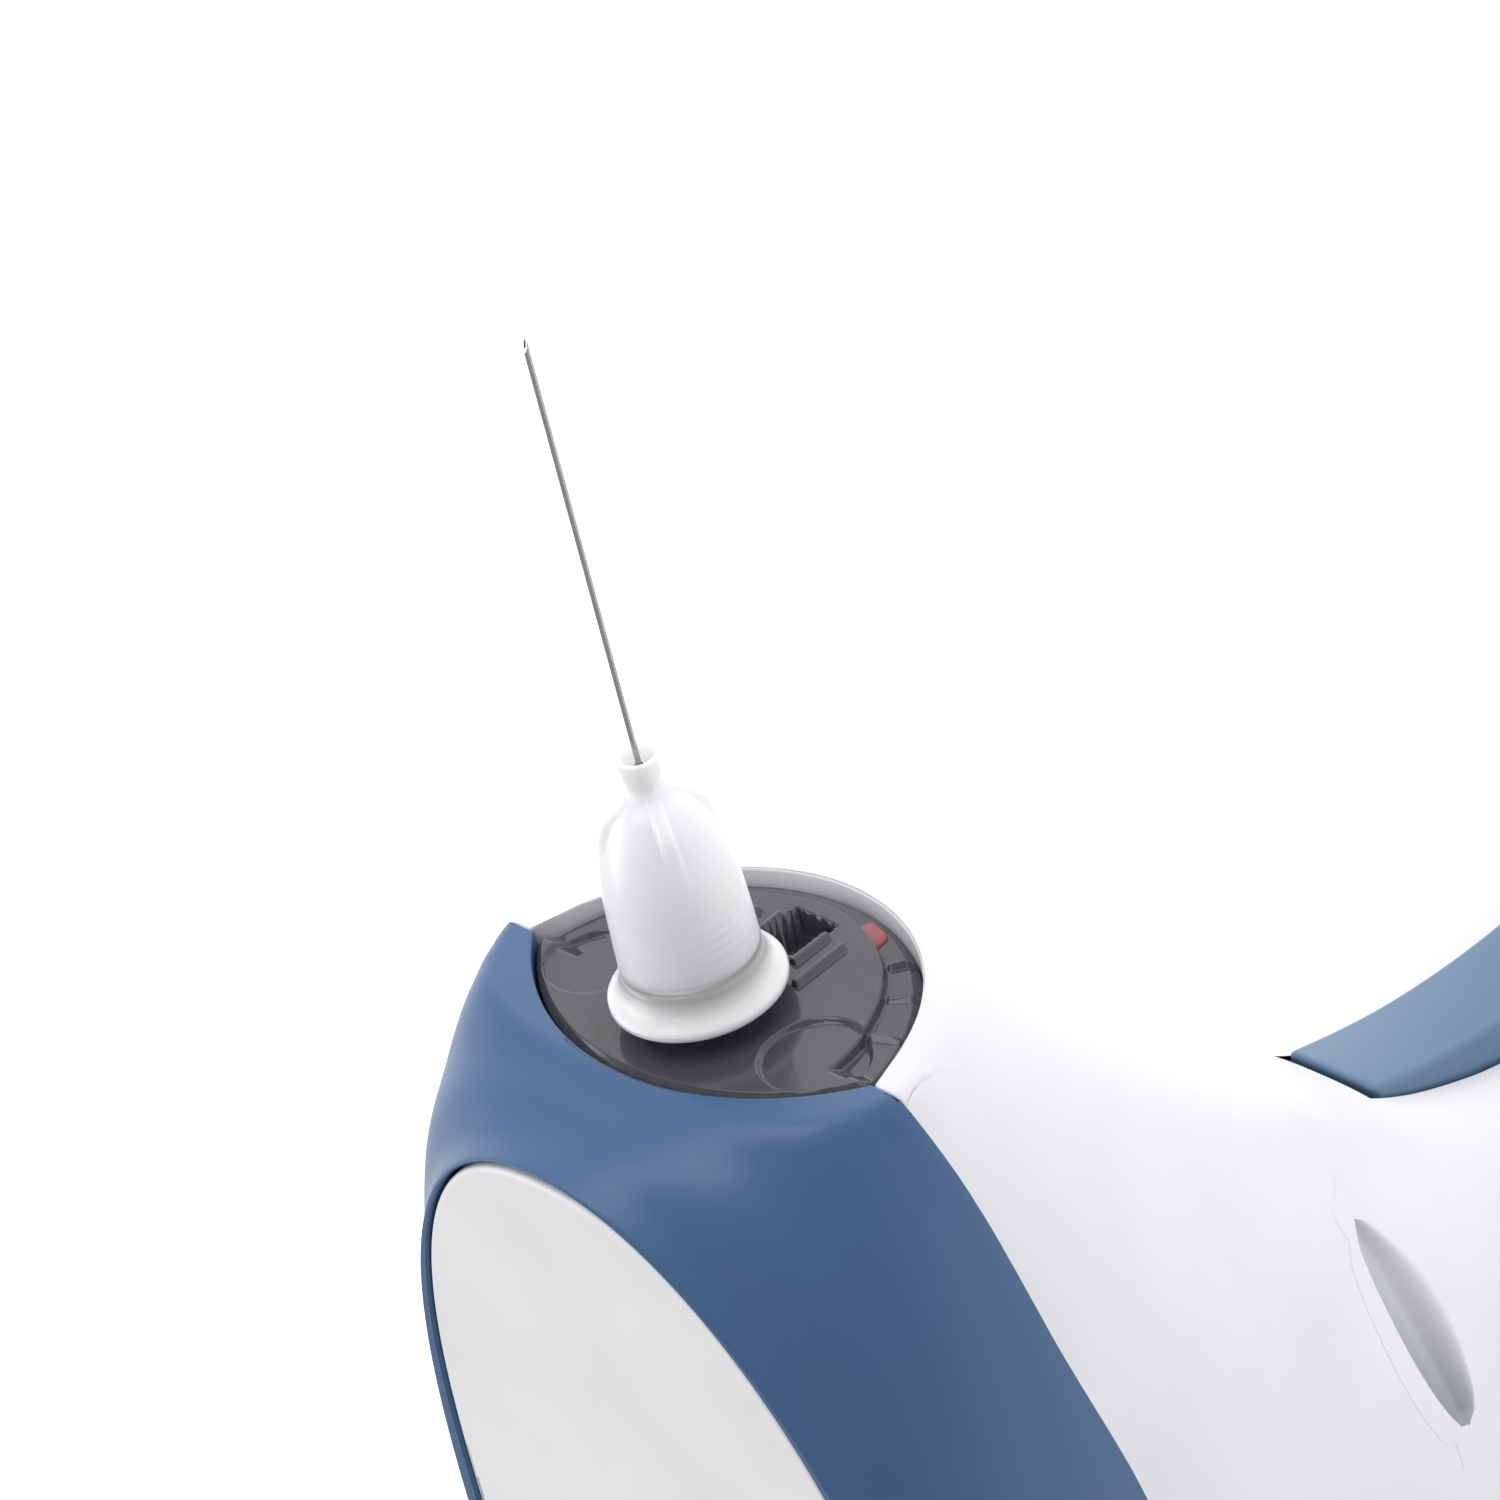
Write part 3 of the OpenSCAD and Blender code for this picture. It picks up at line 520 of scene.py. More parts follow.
FINISHES = (
    (("needle_cannula", "harpoon", "push_rod", "shell_screws"), STEEL),
    (("hatch_pin", "trigger_pin", "trigger_spring"), STEEL),
    (("hub_glue",), GLUE),
    (("nose_seal", "base_foot"), RUBBER),
    (("lock_indicator",), RED),
    (("display_lens",), SCREEN),
    (("power_button", "speed_button"), BUTTON),
    (("button_board", "circuit_board"), BOARD),
    (("cartridge_holder", "motor", "nut_bearings"), SHINY),
    (("cartridge_glass",), GLASS),
    (("cartridge_cap",), ALUMINIUM),
    (("cartridge_seal", "stopper"), SEAL),
    (("rod_guide", "gear_frame", "trigger_cradle", "trigger_switch"), DARK),
    (("drive_nut_gear", "motor_gearbox", "pinion", "battery_contacts", "charge_contacts"), BRASS),
    (("battery_cell",), WRAP),
    (("base_cap", "left_grip_shell", "right_grip_shell"), WHITE),
    (("rear_panel", "cartridge_hatch"), PANEL),
    (("nose_cap",), SMOKE),
    (("needle_hub",), HUB),
    (("trigger",), TRIGGER_BLUE),
    (("upper_shell",), BLUE),
)
for names, material in FINISHES:
    for name in names:
        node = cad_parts[name]
        node.data.materials.clear()
        node.data.materials.append(material)


# ---------------------------------------------------------------- blue upper shell
CAP_CORNER_Y, CAP_CORNER_Z = 12.05, 120.3


def cap_corner_angle():
    """Angle of the slices at the corner where the cap's two arcs meet the seam."""
    a = np.radians(np.linspace(20, 45, 501))
    p = housing(np.full_like(a, CAP_CORNER_Z), a)
    return a[int(np.argmin(np.abs(p[:, 1] - CAP_CORNER_Y)))]


CORNER = cap_corner_angle()
LIP = CORNER + math.radians(8)


def shell_angles(front, lip, side):
    """Angles round half the housing, with a column on the cap's corner."""
    return np.concatenate([
        np.linspace(0, CORNER, front, endpoint=False),
        np.linspace(CORNER, LIP, lip, endpoint=False),
        LIP + (math.pi - LIP) * (1 - np.cos(np.linspace(0, math.pi, side))) / 2,
    ])


def upper_end(a):
    """Height where the blue shell ends at angle a: the cap's opening or the seam."""
    z = np.linspace(TOP_Z, SEAM_SEARCH_Z, 3000)
    p = housing(z, a)
    done = in_cap_hole(p, raw_front(z, a)) | (p[:, 2] < curve(SEAM_Z, p[:, 0]))
    return first_crossing(z, done, SEAM_SPARE_Z)


def lower_start(a):
    """Height where the white halves start at angle a."""
    z = np.linspace(SEAM_SEARCH_Z, TOP_Z, 3000)
    p = housing(z, a)
    done = in_cap_hole(p, raw_front(z, a)) | (p[:, 2] > curve(SEAM_Z, p[:, 0]))
    return first_crossing(z, done, SEAM_SPARE_Z)


def upper_shell():
    """Blue shell: from the oval's edge over the top's rim and down to the seam."""
    half = shell_angles(70, 14, 150)
    columns = []
    for a in half:
        edge = oval(a)
        top = housing(np.array(TOP_Z), a)
        ring = edge[None] + (top[None, :2] - edge[None]) * np.linspace(0, 1, 13)[:, None]
        ring = np.concatenate([ring, top_height(ring[:, 0], ring[:, 1])[:, None]], 1)
        side = column(a, TOP_Z, upper_end(a), 44, 12)
        columns.append(np.concatenate([ring[:-1], side]))
    g = np.stack(columns, 1)
    mirrored = g[:, -2:0:-1] * np.array([1, -1, 1])
    g = np.concatenate([g, mirrored], 1)
    g = border(g, SOFT_EDGE_R, PANEL_T, end=False, closed=True)
    g = border(g, SEAM_EDGE_R, SEAM_EDGE_DEPTH, end=True, closed=True)
    return grids_object("upper_shell_skin", [g], closed=True)


show(upper_shell(), "housing", "blue_plastic", BLUE, "upper_shell")


# ---------------------------------------------------------------- white grip halves
SLOT_FADE = math.radians(60)
# Leaf-shaped scoop in each side, as [x, z] along its sharp upper edge and along its soft lower one
LEAF_UPPER = [[19.2, 92.7], [19.45, 93.2], [19.9, 93.5], [21.2, 94.05], [23.4, 94.65],
              [26.3, 95.05], [28.1, 95.1], [30, 94.9], [31.2, 94.4], [31.7, 93.7]]
LEAF_LOWER = [[19.2, 92.7], [19.4, 92.1], [19.9, 91.65], [21.3, 91.2], [23.3, 90.85],
              [26.1, 90.8], [28.1, 91.35], [30, 92.3], [31.2, 93.1], [31.7, 93.7]]
LEAF_DEPTH, LEAF_FULL_W = 1.7, 4.2
# Share of the leaf's width, from its upper edge, over which the wall goes down
LEAF_WALL = 0.62
# Width of the rim strips, how far they stand on the skin, and how far the skin sinks under the scoop
LEAF_MARGIN, LEAF_PROUD, LEAF_CLEAR = 1.5, 0.012, 3.0


def slot_angle(z):
    """Angle at which the housing is as wide as the trigger's slot."""
    return np.arcsin((SLOT_HALF_W / curve(HALF_W, z)) ** (curve(SIDE_POWER, z) / 2))


def leaf_hollow(g):
    """Sinks the skin inside the leaf's outline, out of the way of the scoop that fills it."""
    x, z = g[..., 0], g[..., 2]
    inside = (x > LEAF_UPPER[0][0]) & (x < LEAF_UPPER[-1][0])
    inside &= (z < curve(LEAF_UPPER, x)) & (z > curve(LEAF_LOWER, x))
    out = g.copy()
    out[..., 1] -= np.sign(g[..., 1]) * LEAF_CLEAR * inside
    return out


def side_y(x, z):
    """Half-width of the housing at (x, z)."""
    c = curve(CENTRE_X, z)
    reach = np.where(x > c, curve(FRONT_X, z) - c, c - curve(REAR_X, z))
    u = np.clip(np.abs(x - c) / reach, 0, 1)
    return curve(HALF_W, z) * (1 - u ** curve(END_POWER, z)) ** (1 / curve(SIDE_POWER, z))


def leaf_scoop(side):
    """Rim strips above and below the leaf, and the scoop between them."""
    x = np.linspace(LEAF_UPPER[0][0] - LEAF_MARGIN, LEAF_UPPER[-1][0] + LEAF_MARGIN, 120)[None]
    upper, lower = curve(LEAF_UPPER, x), curve(LEAF_LOWER, x)
    width = upper - lower
    size = np.clip(width / LEAF_FULL_W, 0, 1) ** 0.7
    v = np.linspace(0, 1, 40)[:, None] ** 1.6
    wall = (1 - (1 - np.minimum(v / LEAF_WALL, 1)) ** 2) ** 0.75
    depth = LEAF_DEPTH * size * wall * (1 - smooth_step(v, 0.5, 1.0))
    edge = np.linspace(0, 1, 5)[:, None]
    above = upper + LEAF_MARGIN * (1 - edge)
    below = lower - LEAF_MARGIN * edge
    grids = []
    for z, sink in ((above, 0), (upper - width * v, depth), (below, 0)):
        xs = x + 0 * z
        grids.append(np.stack([xs, side * (side_y(xs, z) + LEAF_PROUD - sink), z], -1))
    return grids[1], [grids[0], grids[2]]


def half_patches(side):
    """The three strips of a grip half: above, beside and below the trigger's slot."""
    half = shell_angles(60, 12, 150)
    slot_lo, slot_hi = SLOT_Z

    def slot_line(z, a):
        fade = max(0, 1 - a / SLOT_FADE) ** 2
        return housing(z, a + slot_angle(z) * fade)

    above = np.stack([column(a, lower_start(a), slot_hi, 130, 14, nose_first=True) for a in half], 1)
    z_slot = np.linspace(slot_hi, slot_lo, 50)
    z_grip = np.linspace(slot_lo, GRIP_Z0, 50)
    beside = np.stack([slot_line(z_slot, a) for a in half], 1)
    below = np.stack([housing(z_grip, a) for a in half], 1)
    flip = np.array([1, side, 1])
    return leaf_hollow(above * flip), beside * flip, below * flip


def white_half(name, side):
    above, beside, below = half_patches(side)
    above = border(above, SEAM_EDGE_R, SEAM_EDGE_DEPTH, end=False, side=side)
    below = border(below, BASE_EDGE_R, BASE_EDGE_DEPTH, end=True, side=side)
    return grids_object(name, [above, beside, below])


show(white_half("right_grip_skin", -1), "housing", "white_plastic", WHITE, "right_grip_shell")
show(white_half("left_grip_skin", 1), "housing", "white_plastic", WHITE, "left_grip_shell")
for hand, hand_side in (("right", -1), ("left", 1)):
    scoop, rims = leaf_scoop(hand_side)
    # The scoop's material paints shade into its colour, greyer towards its upper edge and rear end
    show(grids_object(hand + "_scoop", [scoop]), "housing", "white_plastic", SCOOP_WITH_PAINTED_SHADE)
    show(grids_object(hand + "_scoop_rim", rims), "housing", "white_plastic", WHITE)


# ---------------------------------------------------------------- ledge and bulkhead
BAY_X, BAY_HALF_W = (-9.0, 53.0), 6.6
LEDGE_GAP = 0.15
# Trough that the hatch's rear edge swings down into, with its half-widths behind and in front of the hinge
TROUGH_DEPTH, TROUGH_REAR, TROUGH_FRONT = 4.0, 3.6, 3.4


def rounded_box(a, x0, x1, half_w, power=6):
    """Closed outline of a rounded rectangle at angles a."""
    mid, reach = (x0 + x1) / 2, (x1 - x0) / 2
    u, v = signed_pow(np.cos(a), 2 / power), signed_pow(np.sin(a), 2 / power)
    return np.stack([mid + reach * u, half_w * v], -1)


def roof_floor():
    """Ledge that the panels rest on, with the bay that the cartridge goes in through."""
    a = np.linspace(0, 2 * math.pi, 200, endpoint=False)
    outer, inner = oval(a, -0.2), rounded_box(a, *BAY_X, BAY_HALF_W)
    mix = np.linspace(0, 1, 30)[:, None, None]
    flat = outer[None] * (1 - mix) + inner[None] * mix
    x = flat[..., 0]
    trough = band(x, HINGE_X - TROUGH_REAR, HINGE_X + TROUGH_FRONT, 1)
    z = top_height(x, flat[..., 1]) - PANEL_T - LEDGE_GAP - TROUGH_DEPTH * trough
    g = np.concatenate([flat, z[..., None]], -1)
    g = border(g, SOFT_EDGE_R, LEDGE_SKIRT, end=True, closed=True)
    return grids_object("roof_floor", [g], closed=True)


def cap_outline(a, grow=0.0):
    """Point of the nose cap's outline, seen along X, at polar angle a from straight up: its nearer arc."""
    centre_z = CAP_MIDDLE_Z

    def reach(r, cz):
        k = centre_z - cz
        along = k * np.cos(a)
        return -along + np.sqrt(np.maximum(along**2 - k**2 + r**2, 0))

    upper = reach(CAP_UPPER_R + grow, CAP_UPPER_Z)
    lower = reach(CAP_LOWER_R + grow, CAP_LOWER_Z)
    r = soft_min(upper, lower, 0.5)
    return np.stack([r * np.sin(a), centre_z + r * np.cos(a)], -1)


def yz_grid(outlines, depths):
    """Rows of points along X from outlines in the YZ plane."""
    rows = []
    for line, x in zip(outlines, depths):
        rows.append(np.concatenate([np.full((len(line), 1), x), line], 1))
    return np.array(rows)


def circle_line(a, r):
    return np.stack([r * np.sin(a), AXIS_Z + r * np.cos(a)], -1)


def nose_bulkhead():
    """Wall behind the nose cap, the socket for its skirt, and ribs that stiffen the rim."""
    a = np.linspace(0, 2 * math.pi, 160, endpoint=False)
    rim = cap_outline(a, CAP_GAP)
    g = yz_grid([rim, rim, circle_line(a, 9.0), circle_line(a, 8.5), circle_line(a, 8.45)],
                [57.6, 56.1, 56.1, 55.9, 50])
    obj = grids_object("nose_bulkhead", [g], closed=True)
    ribs = []
    for k in np.radians(np.arange(100, 262, 18)):
        inner, outer = circle_line(np.array([k]), 8.9)[0], cap_outline(np.array([k]), -0.4)[0]
        side = np.array([math.cos(k), -math.sin(k)]) * 0.28
        ring = [inner - side, outer - side, outer + side, inner + side]
        ribs.append(np.array([[[x, p[0], p[1]] for p in ring] for x in (56.0, 56.35)]))
    return obj, grids_object("nose_ribs", ribs, closed=True)


show(roof_floor(), "housing", "blue_plastic", BLUE)
bulkhead, ribs = nose_bulkhead()
# The bulkhead is coloured near-black as painted shade inside the nose
show(bulkhead, "housing", "blue_plastic", NOSE_WELL_SHADE)
show(ribs, "housing", "white_plastic", WHITE)


# ---------------------------------------------------------------- nose cap
DIMPLE_Y, DIMPLE_R, DIMPLE_DEPTH = 7.65, 2.85, 0.28
RIM_RIBS = np.radians([-72, -54, -38, 38, 54, 72])
WINDOW_Z, WINDOW_HALF, WINDOW_DEPTH = AXIS_Z - 6.5, 1.4, 2.2
LAND_R, LAND_DROP = 8.8, 0.55
RIB_HEIGHT, RAIL_HEIGHT = 0.3, 0.32
STUB_COLLAR = [[0.6, 55.7], [3.0, 55.7], [3.0, 58.7], [3.2, 58.9], [3.2, 59.9], [2.4, 60.0]]
STUB_THREADS, THREAD_X, THREAD_PITCH = 7, 60.1, 0.8
STUB_TIP = [[2.3, 65.7], [2.1, 66.0], [0.6, 66.0], [0.6, 55.7]]
FLAG_Y, FLAG_Z, FLAG_HALF, FLAG_LEAN = -3.0, 111.7, 0.95, 0.25


def cap_relief(y, z):
    """Height of the cap's front over its rim: a raised land, two finger dimples, ribs and the window."""
    down = AXIS_Z - z
    r = np.hypot(y, down)
    h = -LAND_DROP * smooth_step(r, LAND_R, LAND_R + 0.2) * smooth_step(down, -0.5, 0.6)
    for rib in RIM_RIBS:
        across = np.abs(y * math.cos(rib) - down * math.sin(rib))
        blade = (1 - smooth_step(across, 0.07, 0.22)) * smooth_step(r, LAND_R + 0.2, LAND_R + 0.4)
        h = h + RIB_HEIGHT * blade * (down > 0)
    for side in (-1, 1):
        d = np.hypot(y - side * DIMPLE_Y, down)
        h = h - DIMPLE_DEPTH * (1 - smooth_step(d, DIMPLE_R - 0.2, DIMPLE_R))
        h = h + RAIL_HEIGHT * band(side * y, 1.5, 1.8) * band(down, 4.6, 7.0)
        h = h + RAIL_HEIGHT * band(side * y, 2.85, 3.15) * band(down, 3.4, 6.8)
    window = band(y, -WINDOW_HALF, WINDOW_HALF, 0.08)
    window = window * band(z, WINDOW_Z - WINDOW_HALF, WINDOW_Z + WINDOW_HALF, 0.08)
    return h - WINDOW_DEPTH * window


def nose_cap():
    """Smoked moulding with its skirt, and the threaded stub that the needle screws on to."""
    a = np.linspace(0, 2 * math.pi, 420, endpoint=False)
    edge = cap_outline(a)
    hole = circle_line(a, 3.0)
    rows = []
    for f in np.linspace(0, 1, 150):
        line = hole + (edge - hole) * f
        out = np.linalg.norm(edge - line, axis=1)
        x = CAP_FRONT_X - np.maximum(0, CAP_BEVEL - out) + cap_relief(line[:, 0], line[:, 1])
        rows.append(np.concatenate([x[:, None], line], 1))
    skirt = [circle_line(a, r) for r in (8.3, 8.2, 8.2, 7.5, 7.5, 3)]
    back = yz_grid([edge, cap_outline(a, -0.3), cap_outline(a, -1.6)] + skirt,
                   [57.2, 56.5, 56.42, 56.42, 56.3, 50.5, 50.5, 55.6, 55.7])
    plate = grids_object("nose_cap_moulding", [np.concatenate([rows, back])], closed=True)
    threads = []
    for i in range(STUB_THREADS):
        x = THREAD_X + THREAD_PITCH * i
        threads += [[2.3, x], [2.5, x + 0.25], [2.5, x + 0.4], [2.3, x + 0.65]]
    stub = grids_object("nose_cap_stub", [revolve(STUB_COLLAR + threads + STUB_TIP)], closed=True)
    return plate, stub


def lock_flag():
    """Red flag of the lock, moulded in just under the cap's front."""
    a = np.linspace(0, 2 * math.pi, 40, endpoint=False)
    u, v = signed_pow(np.cos(a), 0.4), signed_pow(np.sin(a), 0.4)
    rows = []
    for grow, x in ((-0.9, 58.5), (-0.12, 58.5), (0, 58.44), (0, 57.6), (-0.9, 57.6)):
        half = FLAG_HALF + grow
        rows.append(np.stack([x + 0 * a, half * u + FLAG_Y, half * v + FLAG_Z - FLAG_LEAN * half * u], -1))
    return grids_object("lock_flag", [np.array(rows)], closed=True)


plate, stub = nose_cap()
show(plate, "nose", "smoke_clear", SMOKE, "nose_cap")
show(lock_flag(), "nose", "red_plastic", RED_SMOKED)
show(stub, "nose", "smoke_clear", SMOKE)


# ---------------------------------------------------------------- needle hub
HUB_BODY = [[0, 3.55], [2.6, 3.55], [5.5, 3.47], [7.1, 3.38], [8.5, 3.16], [9.6, 2.85], [10.4, 2.55],
            [11, 2.2], [11.5, 1.8], [12, 1.2], [12.4, 0.92], [13, 0.96], [14.2, 1.12]]
HUB_FIN = [[6, 3.4], [8.5, 3.22], [9.6, 3.0], [10.7, 2.78], [11, 2.62], [11.6, 1.95], [12.2, 1.1],
           [12.6, 0.9], [14.2, 0.9]]
FIN_START = 6
FIN_HALF_T = 0.27
FIN_TURN = math.radians(28)
# Outlines of the flange, of the tip with its bore, and of the glue, as [radius, distance from the base]
FLANGE = [[2.6, 0.05], [4.4, 0.05], [4.5, 0.14], [4.5, 0.42], [4.4, 0.56], [4.12, 0.74], [3.82, 1.15],
          [3.64, 1.8], [3.56, 2.5]]
HUB_TIP = [[1.06, 14.27], [0.9, 14.27], [0.8, 14.1], [0.5, 13.5], [0.3, 13.3], [0.16, 13.3], [0.16, 8.2],
           [1.6, 7.4], [2.56, 6.6], [2.56, 0.3], [2.6, 0]]
GLUE_BEAD = [[0.15, 13.2], [0.34, 13.32], [0.32, 13.5], [0.24, 13.62], [0.15, 13.8]]
HUB_SEGMENTS = 384


def hub_revolve(profile, segments):
    """Turns a profile whose distances start at the hub's base."""
    return revolve([[r, HUB_X + d] for r, d in profile], segments)


def hub_skin():
    """Bell, four thin fins that run from the neck into the bell, and the cup at the tip."""
    a = np.linspace(0, 2 * math.pi, HUB_SEGMENTS, endpoint=False)
    off = np.abs(((a - FIN_TURN + math.pi / 4) % (math.pi / 2)) - math.pi / 4)
    rows = []
    plain, finned = np.linspace(1.0, FIN_START, 16, endpoint=False), np.linspace(FIN_START, 14.2, 100)
    for d in np.concatenate([plain, finned]):
        body = float(curve(HUB_BODY, d))
        fin = float(curve(HUB_FIN, d)) if d > FIN_START else 0
        across = off * max(fin, body)
        blade = 1 - smooth_step(across, FIN_HALF_T * 0.8, FIN_HALF_T * 2.1)
        r = body + np.maximum(0, fin - body) * blade
        rows.append(np.stack([HUB_X + d + 0 * a, r * np.sin(a), AXIS_Z + r * np.cos(a)], -1))
    flange = hub_revolve(FLANGE, HUB_SEGMENTS)
    tip = hub_revolve(HUB_TIP, HUB_SEGMENTS)
    return grids_object("needle_hub_skin", [np.concatenate([flange, rows, tip])], closed=True)


show(hub_skin(), "needle", "hub_plastic", HUB, "needle_hub")
glue = grids_object("glue_bead", [hub_revolve(GLUE_BEAD, 48)], closed=True)
show(glue, "needle", "glue", GLUE, "hub_glue")


# ---------------------------------------------------------------- top panels
# Gap round the panels, and how much wider it is at the front, over which angle
PANEL_GAP, PANEL_SINK = 0.16, 0.04
NAIL_GAP, NAIL_TURN = 0.55, math.radians(16)
SPLIT_BACK_X = HINGE_X - HINGE_R - 0.9
# Corners cut off the hatch's rear edge, so that it clears the shell as it opens
HATCH_CHAMFER, HATCH_REAR_HALF_W = 2.4, 13.8
BUTTON_MIDDLES = [float(low(name)[0] + high(name)[0]) / 2 for name in ("power_button", "speed_button")]
BUTTON_R, GROOVE_DEPTH, LENS_DEPTH = 3.0, 1.2, 1.0
LENS = (low("display_lens"), high("display_lens"))
BARREL = ((-8, 0.85), (-8, 1.7), (-7.8, 1.88), (7.8, 1.88), (8, 1.7), (8, 0.85), (-8, 0.85))


def panel_outline(front, count=360):
    """Closed outline of the front or rear part of the oval, with the split as a straight edge."""
    a = np.linspace(-math.pi, math.pi, 4000)
    gap = PANEL_GAP + (NAIL_GAP * np.exp(-(a / NAIL_TURN) ** 2) if front else 0)
    line = oval(a, gap)
    if front:
        line = line[line[:, 0] > HINGE_X + HATCH_CHAMFER]
        line = np.concatenate([line, [[HINGE_X, HATCH_REAR_HALF_W], [HINGE_X, -HATCH_REAR_HALF_W]]])
    else:
        line = np.concatenate([line[a > 0], line[a <= 0]])
        line = line[line[:, 0] < SPLIT_BACK_X]
    closed = np.concatenate([line, line[:1]])
    closed = np.concatenate([closed, np.zeros((len(closed), 1))], 1)
    return resample(closed, np.linspace(0, 1, count, endpoint=False))[:, :2]


def button_grooves(x, y):
    """Depth of the grooves round the buttons and of the lens recess."""
    depth = 0 * x
    for centre in BUTTON_MIDDLES:
        d = np.hypot(x - centre, y)
        depth = np.maximum(depth, GROOVE_DEPTH * (1 - smooth_step(d, BUTTON_R + 0.1, BUTTON_R + 0.4)))
    (x0, _, _), (x1, y1, _) = LENS
    inside = np.maximum(np.abs(x - (x0 + x1) / 2) - (x1 - x0) / 2, np.abs(y) - y1)
    return np.maximum(depth, LENS_DEPTH * (1 - smooth_step(inside, 0.0, 0.25)))


def panel(name, front, centre, rings):
    """Front or rear part of the white oval: rings of points from its middle out to its rolled edge."""
    line = panel_outline(front)
    rho = np.linspace(0.002, 1, rings)[:, None, None]
    flat = np.array(centre)[None, None] + rho * (line[None] - np.array(centre))
    z = top_height(flat[..., 0], flat[..., 1]) - PANEL_SINK
    if not front:
        z = z - button_grooves(flat[..., 0], flat[..., 1])
    g = np.concatenate([flat, z[..., None]], -1)
    side = 1 if grid_normals(g, True)[rings // 2, 0, 2] > 0 else -1
    g = border(g, SOFT_EDGE_R, PANEL_SKIRT, end=True, side=side, closed=True)
    return grids_object(name, [g], closed=True)


def hinge_barrel():
    """Barrel of the hatch round its pin, from a profile of [y, radius] points."""
    a = np.linspace(0, 2 * math.pi, 48, endpoint=False)
    rows = []
    for y, r in BARREL:
        rows.append([[HINGE_X + r * math.sin(k), y, HINGE_Z + r * math.cos(k)] for k in a])
    return grids_object("hatch_barrel", [np.array(rows)], closed=True)


show(panel("hatch_skin", True, (24, 0), 60), "hatch", "panel_plastic", PANEL, "cartridge_hatch")
show(hinge_barrel(), "hatch", "panel_plastic", PANEL)
show(panel("rear_panel_skin", False, (-27, 0), 130), "housing", "panel_plastic", PANEL, "rear_panel")


# ---------------------------------------------------------------- trigger
TRIGGER_FOOT_Z, TRIGGER_BACK_X, TRIGGER_BEVEL = 52, 18.6, 0.42
TRIGGER_FRONT_X = [[52, 26.9], [55, 27.8], [59, 27.3], [63, 26.6], [67, 26.35], [73.2, 26.65], [76.4, 27.1],
                   [79.6, 27.8], [83, 28.75]]


def trigger_outline():
    z = np.linspace(TRIGGER_FOOT_Z, TRIGGER_TOP_Z, 60)
    front = list(zip(curve(TRIGGER_FRONT_X, z), z))
    return [(TRIGGER_BACK_X, TRIGGER_FOOT_Z)] + front + [(TRIGGER_BACK_X, TRIGGER_TOP_Z)]


def trigger():
    line = trigger_outline()
    n = len(line)
    verts = [(x, y, z) for y in (-TRIGGER_HALF_W, TRIGGER_HALF_W) for x, z in line]
    faces = [tuple(range(n)), tuple(range(2 * n - 1, n - 1, -1))]
    faces += [(k, (k + 1) % n, n + (k + 1) % n, n + k) for k in range(n)]
    obj = mesh_object("trigger_blade", verts, faces)
    bevel = obj.modifiers.new("edges", "BEVEL")
    bevel.width = TRIGGER_BEVEL * MM
    bevel.segments = 3
    bevel.limit_method = "ANGLE"
    bevel.angle_limit = math.radians(50)
    return obj


show(trigger(), "trigger_body", "blue_plastic", TRIGGER_BLUE, "trigger")


# ---------------------------------------------------------------- camera, floor and light
RIGHT = Vector((-0.2098, -0.6882, -0.6945)).normalized()
UP = Vector((0.7912, 0.2979, -0.5341)).normalized()
BACK = RIGHT.cross(UP).normalized()
VIEW_WIDTH = 72.8
CAMERA_DISTANCE = 600
SENSOR = 36
WORLD_STRENGTH, FLOOR_GLOW = 0.55, 0.5
AIM_RIGHT, AIM_UP = 2.45, 11.48

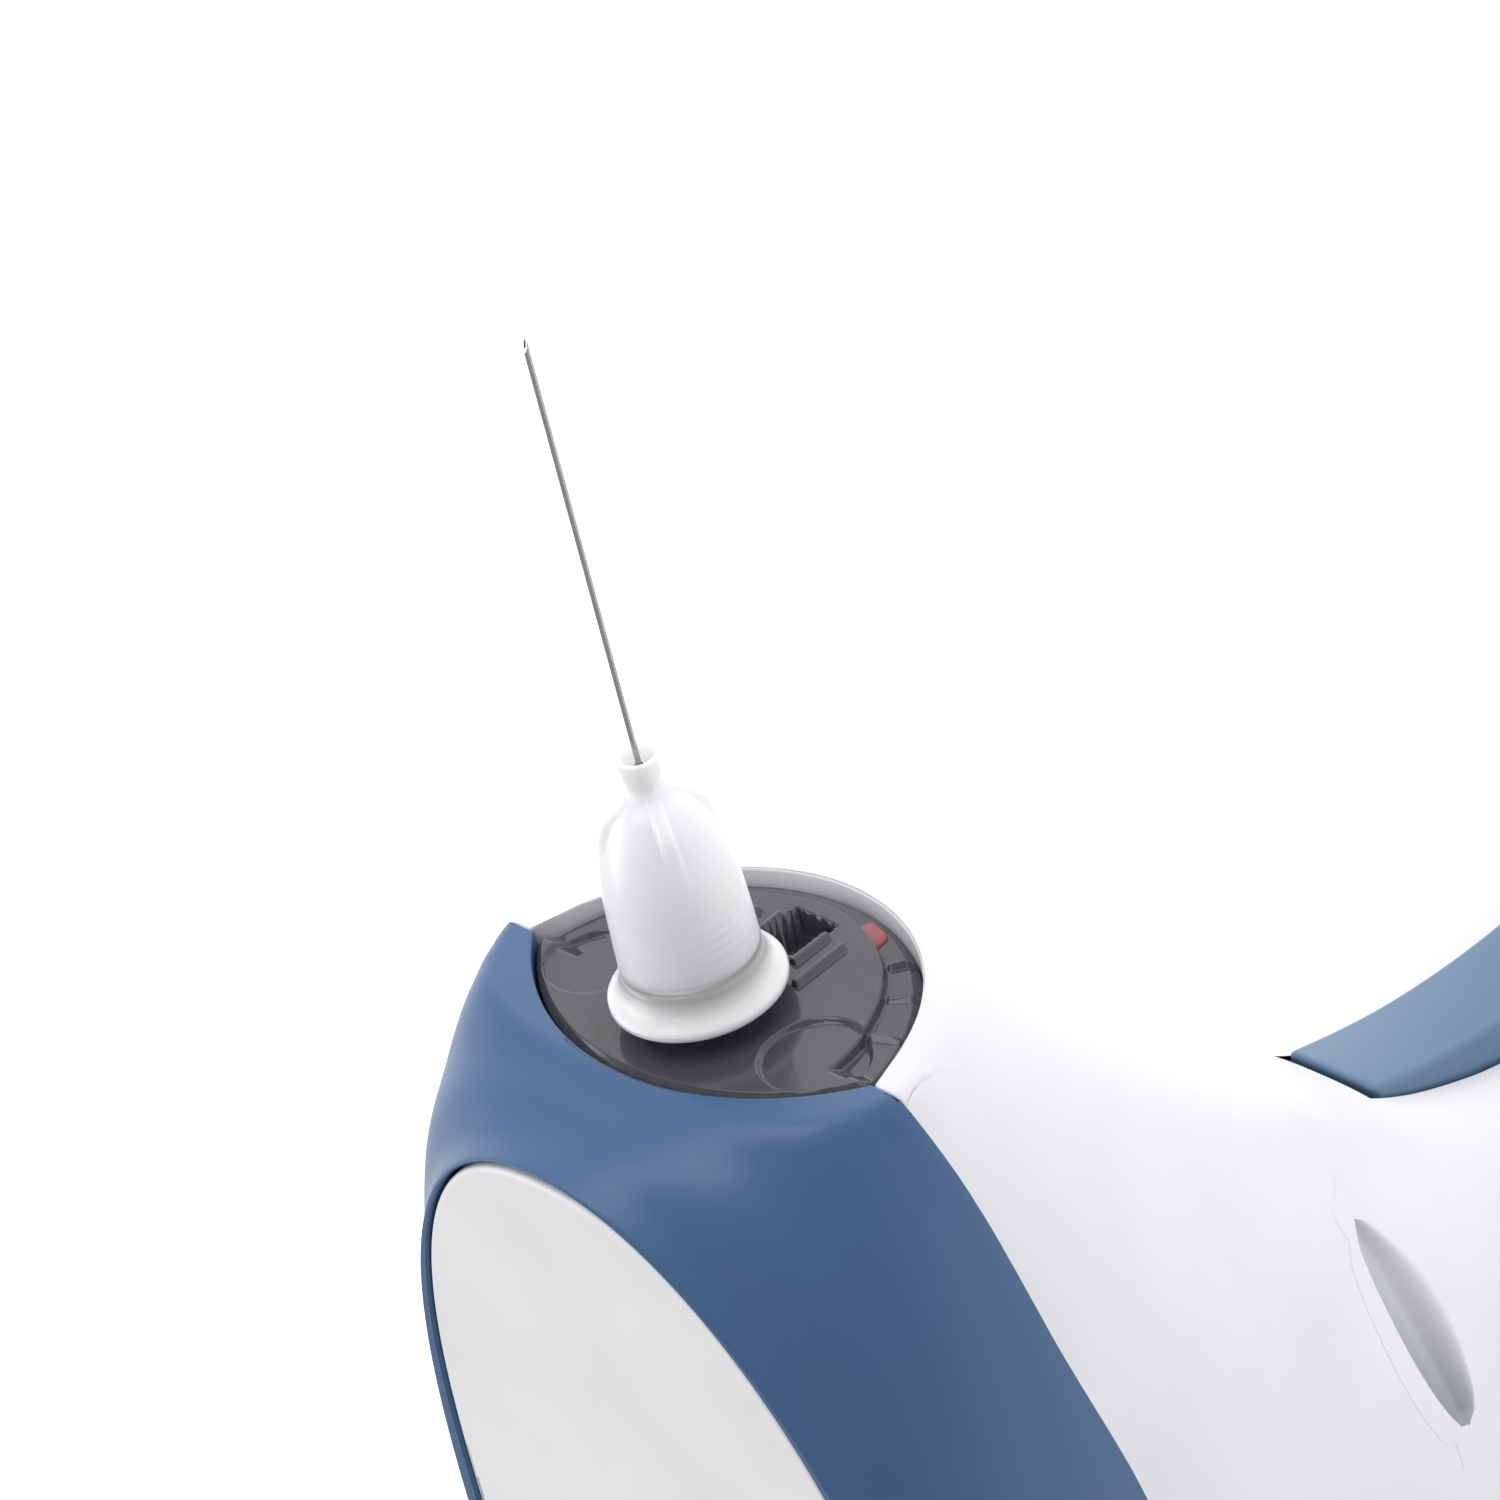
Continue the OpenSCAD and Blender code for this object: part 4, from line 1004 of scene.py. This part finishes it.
camera_data = bpy.data.cameras.new("camera")
camera = bpy.data.objects.new("camera", camera_data)
bpy.context.scene.collection.objects.link(camera)
target = Vector((HUB_X, 0, AXIS_Z)) + AIM_RIGHT * RIGHT + AIM_UP * UP
place = (target + CAMERA_DISTANCE * BACK) * MM
camera.matrix_world = Matrix((
    (RIGHT.x, UP.x, BACK.x, place.x),
    (RIGHT.y, UP.y, BACK.y, place.y),
    (RIGHT.z, UP.z, BACK.z, place.z),
    (0, 0, 0, 1),
))
camera_data.sensor_width = SENSOR
camera_data.lens = SENSOR * CAMERA_DISTANCE / VIEW_WIDTH
camera_data.clip_start = 0.01
camera_data.clip_end = 20
camera_data.dof.use_dof = False
bpy.context.scene.camera = camera

bpy.context.scene.view_settings.view_transform = "Standard"

world = bpy.data.worlds.new("studio")
bpy.context.scene.world = world
world.use_nodes = True
world.node_tree.nodes["Background"].inputs["Color"].default_value = (1, 1, 1, 1)
world.node_tree.nodes["Background"].inputs["Strength"].default_value = WORLD_STRENGTH


def area_light(name, place, aim, size, power):
    data = bpy.data.lights.new(name, "AREA")
    data.shape = "DISK"
    data.size = size
    data.energy = power
    light = bpy.data.objects.new(name, data)
    light.location = place
    light.rotation_euler = (Vector(aim) - Vector(place)).to_track_quat("-Z", "Y").to_euler()
    bpy.context.scene.collection.objects.link(light)


SUBJECT = (0.03, 0, 0.11)
area_light("key", (0.85, 0.1, 0.45), SUBJECT, 0.6, 2.3)
area_light("left", (0.1, 0.6, 0.75), SUBJECT, 0.7, 3.3)
area_light("side", (0.12, 0.9, 0.1), SUBJECT, 0.9, 0.5)

floor_mesh = bpy.data.meshes.new("floor")
FLOOR_HALF = 6
floor_mesh.from_pydata([(-FLOOR_HALF, -FLOOR_HALF, 0), (FLOOR_HALF, -FLOOR_HALF, 0),
                        (FLOOR_HALF, FLOOR_HALF, 0), (-FLOOR_HALF, FLOOR_HALF, 0)], [], [(0, 1, 2, 3)])
floor = bpy.data.objects.new("floor", floor_mesh)
bpy.context.scene.collection.objects.link(floor)
FLOOR = plastic("floor_paper", (0.93, 0.93, 0.93), 0.9, grain=0.05, grain_scale=700, vary=0.005, spec=0.1)
shader = FLOOR.node_tree.nodes["Principled BSDF"]
shader.inputs["Emission Color"].default_value = (1, 1, 1, 1)
shader.inputs["Emission Strength"].default_value = FLOOR_GLOW
floor_mesh.materials.append(FLOOR)
